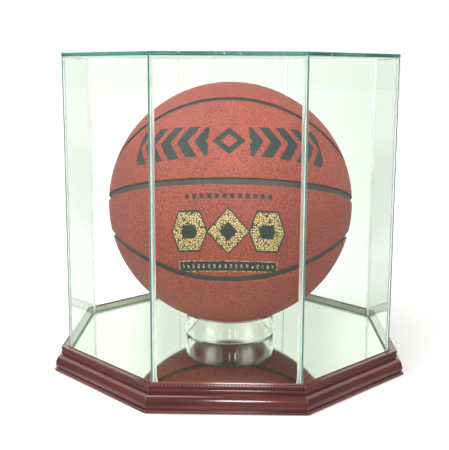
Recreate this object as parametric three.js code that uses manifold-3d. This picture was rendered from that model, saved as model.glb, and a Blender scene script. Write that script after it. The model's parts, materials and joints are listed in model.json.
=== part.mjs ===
// Octagonal glass display case for one basketball, in millimetres, +Z up, front towards -Y.
// A glass cover of eight upright panes and a top pane, bonded with clear silicone, stands in the
// rebate of a mitred wooden moulding. Its floor is a mirror on a hardboard panel, and a clear ring
// on the mirror carries a full-size ball. The origin is under the middle, at the felt pads' soles.
import * as THREE from "three";
import { mergeVertices } from "three/addons/utils/BufferGeometryUtils.js";
import Module from "manifold-3d";

const wasm = await Module();
wasm.setup();

// Clearances between pieces, and the overrun of every cut
const glueGap = 0.1;
const restGap = 0.3;
const fitGap = 0.5;
const mitreGap = 0.1;
const overrun = 2;

// Octagon
const sideNames = ["front", "front_right", "right", "back_right", "back", "back_left", "left", "front_left"];
const sideTurn = (2 * Math.PI) / sideNames.length;
const halfTurnTan = Math.tan(sideTurn / 2);

// Glass cover
const glassSide = 127;
const glassThick = 3;
const headroom = 23;
const paneArris = 0.35;
const topThick = 3;
const topArris = 0.4;

// Silicone beads
const seamLeg = 3.6;
const seamBow = 0.35;
const seamFootHeight = 9;
const seamFootShares = [1.55, 1.4, 1];
const topSeamLeg = 3;

// Wooden moulding: its overall section, then its profile from the foot up
const mouldingWidth = 25.4;
const lipLand = 6.6;
const footStand = 6.2;
const footBand = 2.2;
const footRound = 0.7;
const ovoloStand = 5.2;
const ovoloHeight = 9;
const ovoloReturnHeight = 2.2;
const ovoloReturnDepth = 1;
const quirkRise = 1.2;
const stepIn = 0.6;
const stepRise = 0.9;
const beadHeight = 3.6;
const beadStand = 0.75;
const grooveDepth = 1;
const grooveHeight = 0.8;
const lipHeight = 3;
const lipRound = 0.7;
const rebateDepth = 9.9;
const mouldingArcSteps = 3;

// Floor
const boardThick = 3.2;
const mirrorThick = 3;

// V-nails across the mitres, driven from below
const nailLeg = 7;
const nailThick = 0.5;
const nailHeight = 8;
const nailInset = 14;

// Felt pads
const padRadius = 7;
const padThick = 1;
const padInset = 12;
const padSteps = 24;

// Ring stand: a clear strip bent round and butted at the front
const ringRadius = 45;
const ringWall = 3;
const ringHeight = 21.5;
const ringButtGap = 0.3;
const ringSteps = 64;

// Ball: a hollow carcass, eight covers with open channels between them, and a valve
const ballRadius = 120;
const coverThick = 1.5;
const coverEdgeDrop = 0.7;
const channelWidth = 5.6;
const carcassWall = 2;
const ballTilt = THREE.MathUtils.degToRad(18);
const loopMean = THREE.MathUtils.degToRad(31.5);
const loopSwing = THREE.MathUtils.degToRad(14);
const loopFlat = THREE.MathUtils.degToRad(1.8);
const coverEdgeShare = 0.035;
const coverSteps = 24;
const coverFacetSag = 0.8;
const bandRowShares = [0, coverEdgeShare, 0.22, 0.41, 0.59, 0.78, 1 - coverEdgeShare, 1];
const crownRowShares = [0, coverEdgeShare, 0.19, 0.34, 0.5, 0.66, 0.81, 1 - coverEdgeShare, 1];
const carcassSteps = 32;
const carcassOuterArcs = 15;
const carcassInnerArcs = 10;

// Valve, in the middle of an upper panel at the back
const valveLatitude = THREE.MathUtils.degToRad(21);
const valveRadius = 3;
const valveLength = 7;
const valveSink = 0.6;
const valveClearance = 0.35;
const needleRadius = 0.8;
const needleDepth = 5;
const valveSteps = 16;

// Places worked out from the sizes above
const glassApothem = glassSide / 2 / halfTurnTan;
const glassInner = glassApothem - glassThick;
const rebateWall = glassApothem + fitGap;
const lipEdge = rebateWall + lipLand;
const footEdge = lipEdge + footStand;
const innerWall = footEdge - mouldingWidth;
const mouldingBottom = padThick + glueGap;
const ovoloBottom = footBand + quirkRise + ovoloReturnHeight;
const beadBottom = ovoloBottom + ovoloHeight + stepRise;
const lipBottom = beadBottom + beadHeight + grooveHeight;
const mouldingHeight = lipBottom + lipHeight;
const rebateFloor = mouldingBottom + mouldingHeight - rebateDepth;
const boardBottom = rebateFloor + glueGap;
const boardTop = boardBottom + boardThick;
const mirrorBottom = boardTop + glueGap;
const mirrorTop = mirrorBottom + mirrorThick;
const paneBottom = boardTop + restGap;
const ringBottom = mirrorTop + glueGap;
const ringTop = ringBottom + ringHeight;
const ballCentre = ringTop + Math.sqrt((ballRadius + restGap) ** 2 - (ringRadius - ringWall) ** 2);
const channelAngle = channelWidth / 2 / ballRadius;
const topBottom = ballCentre + ballRadius + headroom;
const paneTop = topBottom - glueGap;
const paneHeight = paneTop - paneBottom;
const topSeamTop = topBottom - glueGap;
const seamBottom = mirrorTop + fitGap;
const seamTop = topSeamTop - topSeamLeg - restGap;

// Materials
function paint(colour, roughness, metalness = 0) {
  return new THREE.MeshStandardMaterial({ color: colour, roughness, metalness });
}

const lacquer = paint(0x74302c, 0.25);
const clearGlass = paint(0xd6ece0, 0.05);
const silicone = paint(0xe9eee9, 0.35);
const silver = paint(0xdfe4e2, 0.04, 1);
const hardboard = paint(0x7a5a3c, 0.8);
const steel = paint(0x9a9c9e, 0.4, 1);
const felt = paint(0x2a2b2c, 0.95);
const acrylic = paint(0xe6eeee, 0.08);
const leather = paint(0xa85e4e, 0.6);
const channelRubber = paint(0x3d4240, 0.7);

// Solids
function solidOf(geometry) {
  const loose = geometry.index ? geometry.toNonIndexed() : geometry;
  const bare = new THREE.BufferGeometry().setAttribute("position", loose.getAttribute("position"));
  const merged = mergeVertices(bare);
  return new wasm.Manifold(
    new wasm.Mesh({
      numProp: 3,
      vertProperties: merged.attributes.position.array,
      triVerts: new Uint32Array(merged.index.array),
    }),
  );
}

function geometryOf(solid) {
  const mesh = solid.getMesh();
  const geometry = new THREE.BufferGeometry();
  geometry.setAttribute("position", new THREE.BufferAttribute(mesh.vertProperties, mesh.numProp));
  geometry.setIndex(new THREE.BufferAttribute(mesh.triVerts, 1));
  return geometry;
}

function piece(name, geometry, material) {
  const facets = geometry.index ? geometry.toNonIndexed() : geometry;
  facets.computeVertexNormals();
  const mesh = new THREE.Mesh(facets, material);
  mesh.name = name;
  return mesh;
}

function outline(points) {
  return new THREE.Shape(points.map(([x, y]) => new THREE.Vector2(x, y)));
}

function prism(shape, depth, curveSegments = mouldingArcSteps) {
  return new THREE.ExtrudeGeometry(shape, { depth, bevelEnabled: false, curveSegments });
}

// An octagonal plate or ring, from a profile of [apothem, height] points
function octagonal(profile) {
  const stretch = 1 / Math.cos(sideTurn / 2);
  const points = profile.map(([apothem, height]) => new THREE.Vector2(apothem * stretch, height));
  const lathe = new THREE.LatheGeometry(points, sideNames.length, sideTurn / 2);
  return lathe.rotateX(Math.PI / 2);
}

// The moulding's section, x being the distance from the case's middle and y the height
function mouldingSection() {
  const ovoloEdge = lipEdge + ovoloStand;
  const ovoloTop = ovoloBottom + ovoloHeight;
  const stepFace = lipEdge - stepIn;
  const quirkFace = ovoloEdge - ovoloReturnDepth;
  const beadMiddle = beadBottom + beadHeight / 2;
  const grooveFace = lipEdge - grooveDepth;
  const section = new THREE.Shape();
  section.moveTo(innerWall, 0);
  section.lineTo(footEdge, 0);
  section.lineTo(footEdge, footBand - footRound);
  section.absarc(footEdge - footRound, footBand - footRound, footRound, 0, Math.PI / 2, false);
  section.lineTo(quirkFace, footBand);
  section.lineTo(quirkFace, footBand + quirkRise);
  section.absellipse(quirkFace, ovoloBottom, ovoloReturnDepth, ovoloReturnHeight, -Math.PI / 2, 0, false);
  section.absellipse(lipEdge, ovoloBottom, ovoloStand, ovoloHeight, 0, Math.PI / 2, false);
  section.lineTo(stepFace, ovoloTop);
  section.lineTo(stepFace, beadBottom);
  section.absellipse(stepFace, beadMiddle, beadStand, beadHeight / 2, -Math.PI / 2, Math.PI / 2, false);
  section.lineTo(grooveFace, beadBottom + beadHeight);
  section.lineTo(grooveFace, lipBottom);
  section.absarc(lipEdge - lipRound, lipBottom + lipRound, lipRound, -Math.PI / 2, 0, false);
  section.absarc(lipEdge - lipRound, mouldingHeight - lipRound, lipRound, 0, Math.PI / 2, false);
  section.lineTo(rebateWall, mouldingHeight);
  section.lineTo(rebateWall, mouldingHeight - rebateDepth);
  section.lineTo(innerWall, mouldingHeight - rebateDepth);
  return section;
}

// A V-nail's outline about a mitre: its point looks outwards and each leg runs into one length
function nailOutline(clearance) {
  const slope = Math.SQRT1_2;
  const half = nailThick / 2 + clearance;
  const tip = half / slope;
  const reach = (nailLeg + clearance) * slope;
  const across = half * slope;
  return outline([
    [tip, 0],
    [-reach + across, reach + across],
    [-reach - across, reach - across],
    [-tip, 0],
    [-reach - across, -reach + across],
    [-reach + across, -reach - across],
  ]);
}

// The nail, or its slot, standing at one end of a length: end is -1 or 1
function nailAt(end, clearance, bottom, height) {
  const place = footEdge - nailInset;
  const mitreHeading = end * (sideTurn / 2) - Math.PI / 2;
  const nail = prism(nailOutline(clearance), height);
  nail.rotateZ(mitreHeading);
  return nail.translate(end * place * halfTurnTan, -place, bottom);
}

// One mitred length of moulding, drawn for the front and sawn for its V-nails
function mouldingLength() {
  const length = prism(mouldingSection(), 1);
  const at = length.getAttribute("position");
  const trim = mitreGap / Math.cos(sideTurn / 2);
  for (let i = 0; i < at.count; i++) {
    const apothem = at.getX(i);
    const half = apothem * halfTurnTan - trim;
    at.setXYZ(i, (1 - 2 * at.getZ(i)) * half, -apothem, at.getY(i) + mouldingBottom);
  }
  let solid = solidOf(length);
  for (const end of [-1, 1]) {
    const bottom = mouldingBottom - overrun;
    solid = solid.subtract(solidOf(nailAt(end, restGap, bottom, overrun + nailHeight + restGap)));
  }
  return geometryOf(solid);
}

function chamferedRectangle(left, right, low, high, chamfer) {
  return outline([
    [left + chamfer, low],
    [right - chamfer, low],
    [right, low + chamfer],
    [right, high - chamfer],
    [right - chamfer, high],
    [left + chamfer, high],
    [left, high - chamfer],
    [left, low + chamfer],
  ]);
}

// A square-cut upright pane: neighbours meet at their inner edges and leave a V outside
function pane() {
  const half = glassInner * halfTurnTan - glueGap;
  const section = chamferedRectangle(-half, half, -glassApothem, -glassInner, paneArris);
  return prism(section, paneHeight).translate(0, 0, paneBottom);
}

function topPane() {
  return octagonal([
    [0, topBottom],
    [glassApothem - topArris, topBottom],
    [glassApothem, topBottom + topArris],
    [glassApothem, topBottom + topThick - topArris],
    [glassApothem - topArris, topBottom + topThick],
    [0, topBottom + topThick],
  ]);
}

function topSeam() {
  const face = glassInner - glueGap;
  return octagonal([
    [face, topSeamTop],
    [face - topSeamLeg, topSeamTop],
    [face, topSeamTop - topSeamLeg],
    [face, topSeamTop],
  ]);
}

// A corner bead, drawn in the corner on the front side's right, thicker at its foot
function cornerSeam() {
  const corner = new THREE.Vector2(glassInner * halfTurnTan, -glassInner);
  const inwards = new THREE.Vector2(-Math.sin(sideTurn / 2), Math.cos(sideTurn / 2));
  const along = new THREE.Vector2(inwards.y, -inwards.x);
  const depth = seamLeg * Math.sin(sideTurn / 2);
  const width = seamLeg * Math.cos(sideTurn / 2);
  const rootGap = glueGap / Math.cos(sideTurn / 2);
  const section = [
    [0, 0],
    [width, depth],
    [width / 2, depth + seamBow],
    [-width / 2, depth + seamBow],
    [-width, depth],
  ];
  const levels = [
    [seamBottom, seamFootShares[0]],
    [seamBottom + seamFootHeight / 2, seamFootShares[1]],
    [seamBottom + seamFootHeight, seamFootShares[2]],
    [seamTop, seamFootShares[2]],
  ];
  const rings = levels.map(([height, share]) =>
    section.map(([across, deep]) => {
      const place = corner
        .clone()
        .addScaledVector(inwards, rootGap + deep * share)
        .addScaledVector(along, across * share);
      return [place.x, place.y, height];
    }),
  );
  return loft(rings);
}

// A closed solid through rings of points, all with the same count and turning the same way
function loft(rings) {
  const points = rings.flat();
  const around = rings[0].length;
  const faces = [];
  for (let ring = 0; ring + 1 < rings.length; ring++) {
    for (let i = 0; i < around; i++) {
      const next = (i + 1) % around;
      const low = ring * around;
      const high = low + around;
      faces.push(low + i, low + next, high + next, low + i, high + next, high + i);
    }
  }
  const last = (rings.length - 1) * around;
  for (let i = 1; i + 1 < around; i++) {
    faces.push(0, i + 1, i, last, last + i, last + i + 1);
  }
  return facesFrom(points, faces);
}

function facesFrom(points, faces) {
  const geometry = new THREE.BufferGeometry();
  geometry.setAttribute("position", new THREE.Float32BufferAttribute(points.flat(), 3));
  return geometry.setIndex(faces);
}

function ring() {
  const inner = ringRadius - ringWall;
  const outerButt = Math.asin(ringButtGap / 2 / ringRadius);
  const innerButt = Math.asin(ringButtGap / 2 / inner);
  const front = -Math.PI / 2;
  const strip = new THREE.Shape();
  strip.absarc(0, 0, ringRadius, front + outerButt, front - outerButt + 2 * Math.PI, false);
  strip.absarc(0, 0, inner, front - innerButt + 2 * Math.PI, front + innerButt, true);
  return prism(strip, ringHeight, ringSteps / 2).translate(0, 0, ringBottom);
}

function pad() {
  const disc = new THREE.CylinderGeometry(padRadius, padRadius, padThick, padSteps);
  disc.rotateX(Math.PI / 2);
  return disc.translate(0, -(footEdge - padInset), padThick / 2);
}

// The ball's middle is the origin here, with the seam round its middle level and its front at -Y
function onBall(heading, latitude, radius) {
  const level = radius * Math.cos(latitude);
  return [level * Math.sin(heading), -level * Math.cos(heading), radius * Math.sin(latitude)];
}

function loopLatitude(heading) {
  return loopMean + loopSwing * Math.cos(2 * heading) - loopFlat * Math.cos(4 * heading);
}

// How far a cover's edge stands off the loop, measured along the latitude
function loopStandOff(heading) {
  const rise = -2 * loopSwing * Math.sin(2 * heading) + 4 * loopFlat * Math.sin(4 * heading);
  return channelAngle * Math.hypot(1, rise / Math.cos(loopLatitude(heading)));
}

// A cover between the middle seam and a loop, as places over its columns and rows
function bandPlace(columnShare, rowShare) {
  const heading = columnShare * (Math.PI / 2 - channelAngle);
  const high = loopLatitude(heading) - loopStandOff(heading);
  return [heading, THREE.MathUtils.lerp(channelAngle, high, rowShare)];
}

// Half of the cap inside a loop, ruled from the loop in to the straight seam over the crown
function crownPlace(columnShare, rowShare) {
  const polar = (heading) => Math.PI / 2 - loopLatitude(heading) - loopStandOff(heading);
  const widest = Math.acos(channelAngle / polar(Math.PI / 2));
  const heading = columnShare * widest;
  const loop = new THREE.Vector2(Math.sin(heading), Math.cos(heading)).multiplyScalar(polar(heading));
  const reach = polar(widest) * Math.sin(heading);
  const spread = Math.abs(reach) > channelAngle ? Math.abs(reach) / Math.sin(Math.abs(reach)) : 1;
  const seam = new THREE.Vector2(reach, Math.sin(channelAngle) * spread);
  const place = Math.abs(columnShare) === 1 ? loop : loop.lerp(seam, rowShare);
  return [Math.atan2(place.x, place.y), Math.PI / 2 - place.length()];
}

// A leather cover: an outer and an inner skin over one grid, its outer edge rounded down
function ballCover(placeOf, rowShares) {
  const columns = [-1, coverEdgeShare - 1];
  for (let i = 1; i < coverSteps; i++) columns.push((2 * i) / coverSteps - 1);
  columns.push(1 - coverEdgeShare, 1);
  const points = [];
  for (const outer of [true, false]) {
    for (const [c, columnShare] of columns.entries()) {
      for (const [r, rowShare] of rowShares.entries()) {
        const atEdge = c === 0 || c === columns.length - 1 || r === 0 || r === rowShares.length - 1;
        const top = ballRadius - (atEdge ? coverEdgeDrop : 0);
        points.push(onBall(...placeOf(columnShare, rowShare), outer ? top : ballRadius - coverThick));
      }
    }
  }
  const rows = rowShares.length;
  const skin = columns.length * rows;
  const faces = [];
  const quad = (a, b, c, d) => faces.push(a, b, c, a, c, d);
  for (let c = 0; c + 1 < columns.length; c++) {
    for (let r = 0; r + 1 < rows; r++) {
      const a = c * rows + r;
      quad(a, a + rows, a + rows + 1, a + 1);
      quad(skin + a, skin + a + 1, skin + a + rows + 1, skin + a + rows);
    }
    const low = c * rows;
    const high = low + rows - 1;
    quad(low, skin + low, skin + low + rows, low + rows);
    quad(high, high + rows, skin + high + rows, skin + high);
  }
  for (let r = 0; r + 1 < rows; r++) {
    const far = skin - rows + r;
    quad(r, r + 1, skin + r + 1, skin + r);
    quad(far, skin + far, skin + far + 1, far + 1);
  }
  return facesFrom(points, faces);
}

function valveBore(radius) {
  const bore = new THREE.CylinderGeometry(radius, radius, ballRadius, valveSteps);
  bore.translate(0, ballRadius, 0);
  return solidOf(bore.rotateX(Math.PI - valveLatitude));
}

// A meridian of the carcass, from its mouth to the far pole
function meridian(radius, mouth, steps) {
  const points = [];
  for (let i = 0; i <= steps; i++) {
    const angle = THREE.MathUtils.lerp(Math.asin(mouth / radius), Math.PI, i / steps);
    points.push(new THREE.Vector2(radius * Math.sin(angle), radius * Math.cos(angle)));
  }
  return points;
}

// The carcass is turned about the valve's axis, which leaves it open there
function carcass() {
  const outer = ballRadius - coverThick - coverFacetSag;
  const inner = outer - carcassWall;
  const mouth = valveRadius + valveClearance;
  const shell = [
    ...meridian(outer, mouth, carcassOuterArcs).reverse(),
    ...meridian(inner, mouth, carcassInnerArcs),
  ];
  return new THREE.LatheGeometry(shell, carcassSteps).rotateX(valveLatitude);
}

function valve() {
  const top = ballRadius - valveSink;
  const bottom = top - valveLength;
  const profile = [
    [0, bottom],
    [valveRadius, bottom],
    [valveRadius, top],
    [needleRadius, top],
    [needleRadius, top - needleDepth],
    [0, top - needleDepth],
  ].map(([radius, height]) => new THREE.Vector2(radius, height));
  return new THREE.LatheGeometry(profile, valveSteps).rotateX(valveLatitude);
}

// Assembly
const displayCase = new THREE.Group();
const sideGroups = sideNames.map((name, i) => {
  const group = new THREE.Group();
  group.rotation.z = i * sideTurn;
  displayCase.add(group);
  return group;
});

for (const [i, side] of sideNames.entries()) {
  const group = sideGroups[i];
  group.add(piece("moulding_" + side, mouldingLength(), lacquer));
  group.add(piece("v_nail_" + side, nailAt(1, 0, mouldingBottom, nailHeight), steel));
  group.add(piece("pane_" + side, pane(), clearGlass));
  group.add(piece("corner_seam_" + side, cornerSeam(), silicone));
  if (i % 2) group.add(piece("felt_pad_" + side, pad(), felt));
}

const boardEdge = rebateWall - restGap;
const board = octagonal([[0, boardBottom], [boardEdge, boardBottom], [boardEdge, boardTop], [0, boardTop]]);
displayCase.add(piece("base_board", board, hardboard));

const mirrorEdge = glassInner - fitGap;
const mirror = octagonal([
  [0, mirrorBottom],
  [mirrorEdge, mirrorBottom],
  [mirrorEdge, mirrorTop],
  [0, mirrorTop],
]);
displayCase.add(piece("mirror", mirror, silver));
displayCase.add(piece("top_pane", topPane(), clearGlass));
displayCase.add(piece("top_seam", topSeam(), silicone));
displayCase.add(piece("ring_stand", ring(), acrylic));

const ball = new THREE.Group();
ball.position.z = ballCentre;
ball.rotation.x = -ballTilt;
displayCase.add(ball);
ball.add(piece("ball_carcass", carcass(), channelRubber));
ball.add(piece("ball_valve", valve(), channelRubber));

const ballTurns = {
  upper_front: [0, 0, 0],
  upper_back: [0, 0, Math.PI],
  lower_front: [0, Math.PI, 0],
  lower_back: [Math.PI, 0, 0],
};
for (const [place, turn] of Object.entries(ballTurns)) {
  const group = new THREE.Group();
  group.rotation.set(...turn);
  ball.add(group);
  let band = ballCover(bandPlace, bandRowShares);
  if (place === "upper_back") {
    band = geometryOf(solidOf(band).subtract(valveBore(valveRadius + valveClearance)));
  }
  group.add(piece("ball_cover_" + place, band, leather));
  const crown = ballCover(crownPlace, crownRowShares);
  group.add(piece("ball_crown_" + place, crown, leather));
}

export default displayCase;
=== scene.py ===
"""Octagonal glass display case with a ball on a clear ring: finishes and fine surfaces.

Metres, +Z up, front towards -Y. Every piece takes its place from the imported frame.
"""

import json
import math
from contextlib import contextmanager

import bmesh
import bpy
from bpy.props import FloatProperty, FloatVectorProperty, IntProperty, PointerProperty
from mathutils import Matrix, Vector


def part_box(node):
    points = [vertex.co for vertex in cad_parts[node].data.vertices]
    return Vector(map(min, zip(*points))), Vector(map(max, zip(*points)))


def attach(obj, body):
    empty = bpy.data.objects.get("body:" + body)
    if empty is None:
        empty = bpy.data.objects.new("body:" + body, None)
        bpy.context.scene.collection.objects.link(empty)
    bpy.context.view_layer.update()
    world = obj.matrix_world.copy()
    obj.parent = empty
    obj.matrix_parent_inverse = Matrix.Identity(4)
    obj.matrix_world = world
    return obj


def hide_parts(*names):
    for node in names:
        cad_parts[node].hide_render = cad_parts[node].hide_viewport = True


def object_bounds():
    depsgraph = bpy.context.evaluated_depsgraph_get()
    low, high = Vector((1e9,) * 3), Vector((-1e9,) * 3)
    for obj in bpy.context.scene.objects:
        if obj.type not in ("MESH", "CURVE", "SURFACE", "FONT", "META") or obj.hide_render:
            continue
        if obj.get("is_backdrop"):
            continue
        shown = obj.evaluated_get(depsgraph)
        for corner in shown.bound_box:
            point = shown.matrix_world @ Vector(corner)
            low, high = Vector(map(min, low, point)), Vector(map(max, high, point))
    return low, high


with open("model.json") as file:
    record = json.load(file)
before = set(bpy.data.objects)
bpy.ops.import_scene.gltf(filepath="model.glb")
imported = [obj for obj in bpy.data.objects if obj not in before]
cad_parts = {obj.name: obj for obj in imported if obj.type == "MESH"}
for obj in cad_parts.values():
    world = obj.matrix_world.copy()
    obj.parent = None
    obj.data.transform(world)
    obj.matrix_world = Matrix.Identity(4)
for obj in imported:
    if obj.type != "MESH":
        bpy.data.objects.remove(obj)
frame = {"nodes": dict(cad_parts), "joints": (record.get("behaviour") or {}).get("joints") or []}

bl_info = {
    "name": "Octagonal Display Case",
    "version": (1, 0, 0),
    "blender": (4, 5, 0),
    "location": "3D View > Sidebar > Display Case",
    "description": "Builds a glass display case on a moulded base, with a ball on a ring stand",
    "category": "Object",
}

cad_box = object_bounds()

SIDES = ("front", "front_right", "right", "back_right", "back", "back_left", "left", "front_left")
SIDE_TURN = math.tau / len(SIDES)
CORNER_STRETCH = 1 / math.cos(SIDE_TURN / 2)

# How far a cut runs past a piece, and how close points lie that touch or are doubles
OVERRUN = 0.002
TOUCH = 1e-6
DOUBLES = 1e-7

# Sides and rings of round pieces
ROUND_SIDES = 48
RING_SIDES = 180
CARCASS_SIDES = 96
CARCASS_RINGS = 64

BALL_JOINT = next(joint for joint in frame["joints"] if joint["name"] == "ball_turn")
BALL_CENTRE = Vector(BALL_JOINT["pos_m"])


# Settings

def length_setting(name, default, description):
    return FloatProperty(name=name, description=description, default=default, unit="LENGTH", precision=5)


def number_setting(name, default, description):
    return FloatProperty(name=name, description=description, default=default)


def power_setting(name, default, description):
    return FloatProperty(name=name, description=description, default=default, unit="POWER")


def count_setting(name, default, least, description):
    return IntProperty(name=name, description=description, default=default, min=least)


def angle_setting(name, degrees, description):
    return FloatProperty(name=name, description=description, default=math.radians(degrees), subtype="ANGLE")


def colour_setting(name, default, description):
    return FloatVectorProperty(
        name=name, description=description, default=(*default, 1), size=4, subtype="COLOR", min=0, max=1
    )


class MouldingSettings(bpy.types.PropertyGroup):
    """The base moulding's profile, from the foot up, and its stain"""

    foot_stand: length_setting("Foot Stand", 0.0062, "How far the foot stands out past the lip")
    foot_band: length_setting("Foot Band", 0.0022, "Height of the foot's upright band")
    foot_round: length_setting("Foot Round", 0.0007, "Radius on the foot's upper edge")
    quirk_rise: length_setting("Quirk Rise", 0.0012, "Height of the quirk over the foot")
    ovolo_stand: length_setting("Ovolo Stand", 0.0052, "How far the ovolo stands out past the lip")
    ovolo_height: length_setting("Ovolo Height", 0.009, "Height of the ovolo's quarter round")
    return_height: length_setting("Return Height", 0.0022, "Height of the ovolo's return")
    return_depth: length_setting("Return Depth", 0.001, "Depth of the ovolo's return")
    step_in: length_setting("Step In", 0.0006, "How far the neck lies inside the lip")
    step_rise: length_setting("Step Rise", 0.0009, "Height of the neck over the ovolo")
    bead_height: length_setting("Bead Height", 0.0036, "Height of the half-round bead")
    bead_stand: length_setting("Bead Stand", 0.00075, "How far the bead stands out of the neck")
    groove_depth: length_setting("Groove Depth", 0.001, "Depth of the groove under the lip")
    groove_height: length_setting("Groove Height", 0.0008, "Height of the groove under the lip")
    lip_round: length_setting("Lip Round", 0.0007, "Radius on the lip's lower edge")
    bead_fullness: number_setting("Bead Fullness", 1.5, "2 is an oval bead, less has flatter flanks")
    facet_lean: angle_setting("Facet Lean", 22.5, "Lean of the facets on the lip's rim and at the glass")
    facet_swell: angle_setting("Facet Swell", 3, "How much steeper the lower half of a facet is")
    rim_height: length_setting("Rim Height", 0.0009, "Height of the notched facet on the lip's rim")
    rim_width: length_setting("Rim Width", 0.0005, "Width of the rim's flat top")
    ledge_drop: length_setting("Ledge Drop", 0.0009, "Depth of the ledge between the rim and the fillet")
    fillet_width: length_setting("Fillet Width", 0.0001, "Width of the flat top of the fillet at the glass")
    rebate_depth: length_setting("Rebate Depth", 0.0099, "Depth of the rebate that takes the floor")
    mitre_gap: length_setting("Mitre Gap", 0.00006, "Half the glue line in a mitre")
    rebate_gap: length_setting("Rebate Gap", 0.0003, "Gap between the floor panel and the rebate's wall")
    arris: length_setting("Mitre Arris", 0.00015, "Worn edge along each mitre")
    inner_round: length_setting("Inner Round", 0.0002, "Radius on the lip's inner edge")
    notch_pitch: length_setting("Notch Pitch", 0.003, "Pitch of the milled notches along the lip")
    notch_depth: length_setting("Notch Depth", 0.0002, "Depth of the milled notches along the lip")
    notch_width: number_setting("Notch Width", 0.22, "Half width of a notch, as a share of their pitch")
    slot_clearance: length_setting("Slot Clearance", 0.0003, "Room over a nail in its slot")
    slot_turn: angle_setting("Slot Turn", 135, "Turn of a slot from the line out through its corner")
    slot_width: length_setting("Slot Width", 0.0011, "Width of a nail's slot")
    slot_reach: length_setting("Slot Reach", 0.0079, "Length of the slot for one leg of a nail")
    slot_back: length_setting("Slot Back", 0.0006, "How far a slot starts behind the nail's point")
    stain_dark: colour_setting("Dark Stain", (0.05, 0.013, 0.011), "Stain in the pores")
    stain: colour_setting("Stain", (0.095, 0.021, 0.017), "Stain on the wood")
    # Painted highlight: a lighter stain on the lip's rim and on the fillet at the glass, the facets that
    # catch the front lamp
    stain_painted_highlight: colour_setting("Worn Stain", (0.2, 0.08, 0.066), "Stain rubbed thin on the lip and fillet")
    stain_red: colour_setting("Red Stain", (0.17, 0.027, 0.021), "Stain where it is thin")
    timber: colour_setting("Bare Timber", (0.8, 0.73, 0.6), "Unstained wood in the rebate")


class GlassSettings(bpy.types.PropertyGroup):
    """The glass, its ground edges and the clear beads in its corners"""

    arris: length_setting("Pane Arris", 0.00035, "Ground arris of an upright pane")
    top_arris: length_setting("Top Arris", 0.0004, "Ground arris of the top pane")
    seam_leg: length_setting("Seam Leg", 0.0024, "Leg of a corner bead along each pane")
    seam_bow: length_setting("Seam Bow", 0.00035, "How far a corner bead bows out")
    seam_root: length_setting("Seam Root", 0.0001, "Gap between a corner bead's root and the panes")
    seam_foot: length_setting("Seam Foot", 0.009, "Height of the thick foot of a corner bead")
    top_seam_leg: length_setting("Top Seam Leg", 0.0014, "Leg of the bead under the top pane")
    ring_wall: length_setting("Ring Wall", 0.003, "Wall of the ring stand")
    ring_edge: length_setting("Ring Edge", 0.0004, "Radius on the ring stand's edges")
    ring_gap: length_setting("Ring Gap", 0.0003, "Gap of the ring stand's butt joint")
    tint: colour_setting("Glass Tint", (0.963, 0.995, 0.96), "What white becomes through one pane")
    edge_dark: colour_setting("Dark Edge", (0.02, 0.15, 0.115), "Darkest green in the ground edge")
    edge: colour_setting("Edge", (0.045, 0.29, 0.22), "Lightest green in the ground edge")
    # Painted light: this pale colour of the ends stands in for light that comes through the glass
    edge_painted_light: colour_setting("Pale Edge", (0.95, 1.0, 0.95), "Ends and arrises of the upright panes")
    edge_nick: colour_setting("Edge Nick", (0.75, 0.95, 0.88), "Nicks in the ground edge")
    edge_border: length_setting("Edge Border", 0.0017, "Width of the dark line along them")
    bead: colour_setting("Bead", (0.93, 0.94, 0.91), "Clear silicone")
    bead_cloud: colour_setting("Bead Cloud", (0.97, 0.98, 0.95), "Clouds in the silicone")
    silver: colour_setting("Silver", (0.93, 0.97, 0.9), "Silvered back of the mirror")
    acrylic: colour_setting("Acrylic", (1.0, 0.985, 0.955), "Clear strip of the ring stand")


class FittingSettings(bpy.types.PropertyGroup):
    """The board, nails and pads under the mirror"""

    pad_edge: length_setting("Pad Edge", 0.0002, "Radius on a pad's edges")
    board_dark: colour_setting("Dark Fibre", (0.13, 0.07, 0.035), "Dark fibre of the board")
    board_light: colour_setting("Light Fibre", (0.26, 0.155, 0.08), "Light fibre of the board")
    felt_dark: colour_setting("Dark Felt", (0.01, 0.01, 0.012), "Between the pads' hairs")
    felt_light: colour_setting("Light Felt", (0.06, 0.06, 0.065), "The pads' hairs")
    steel: colour_setting("Steel", (0.55, 0.56, 0.58), "Nails")


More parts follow.
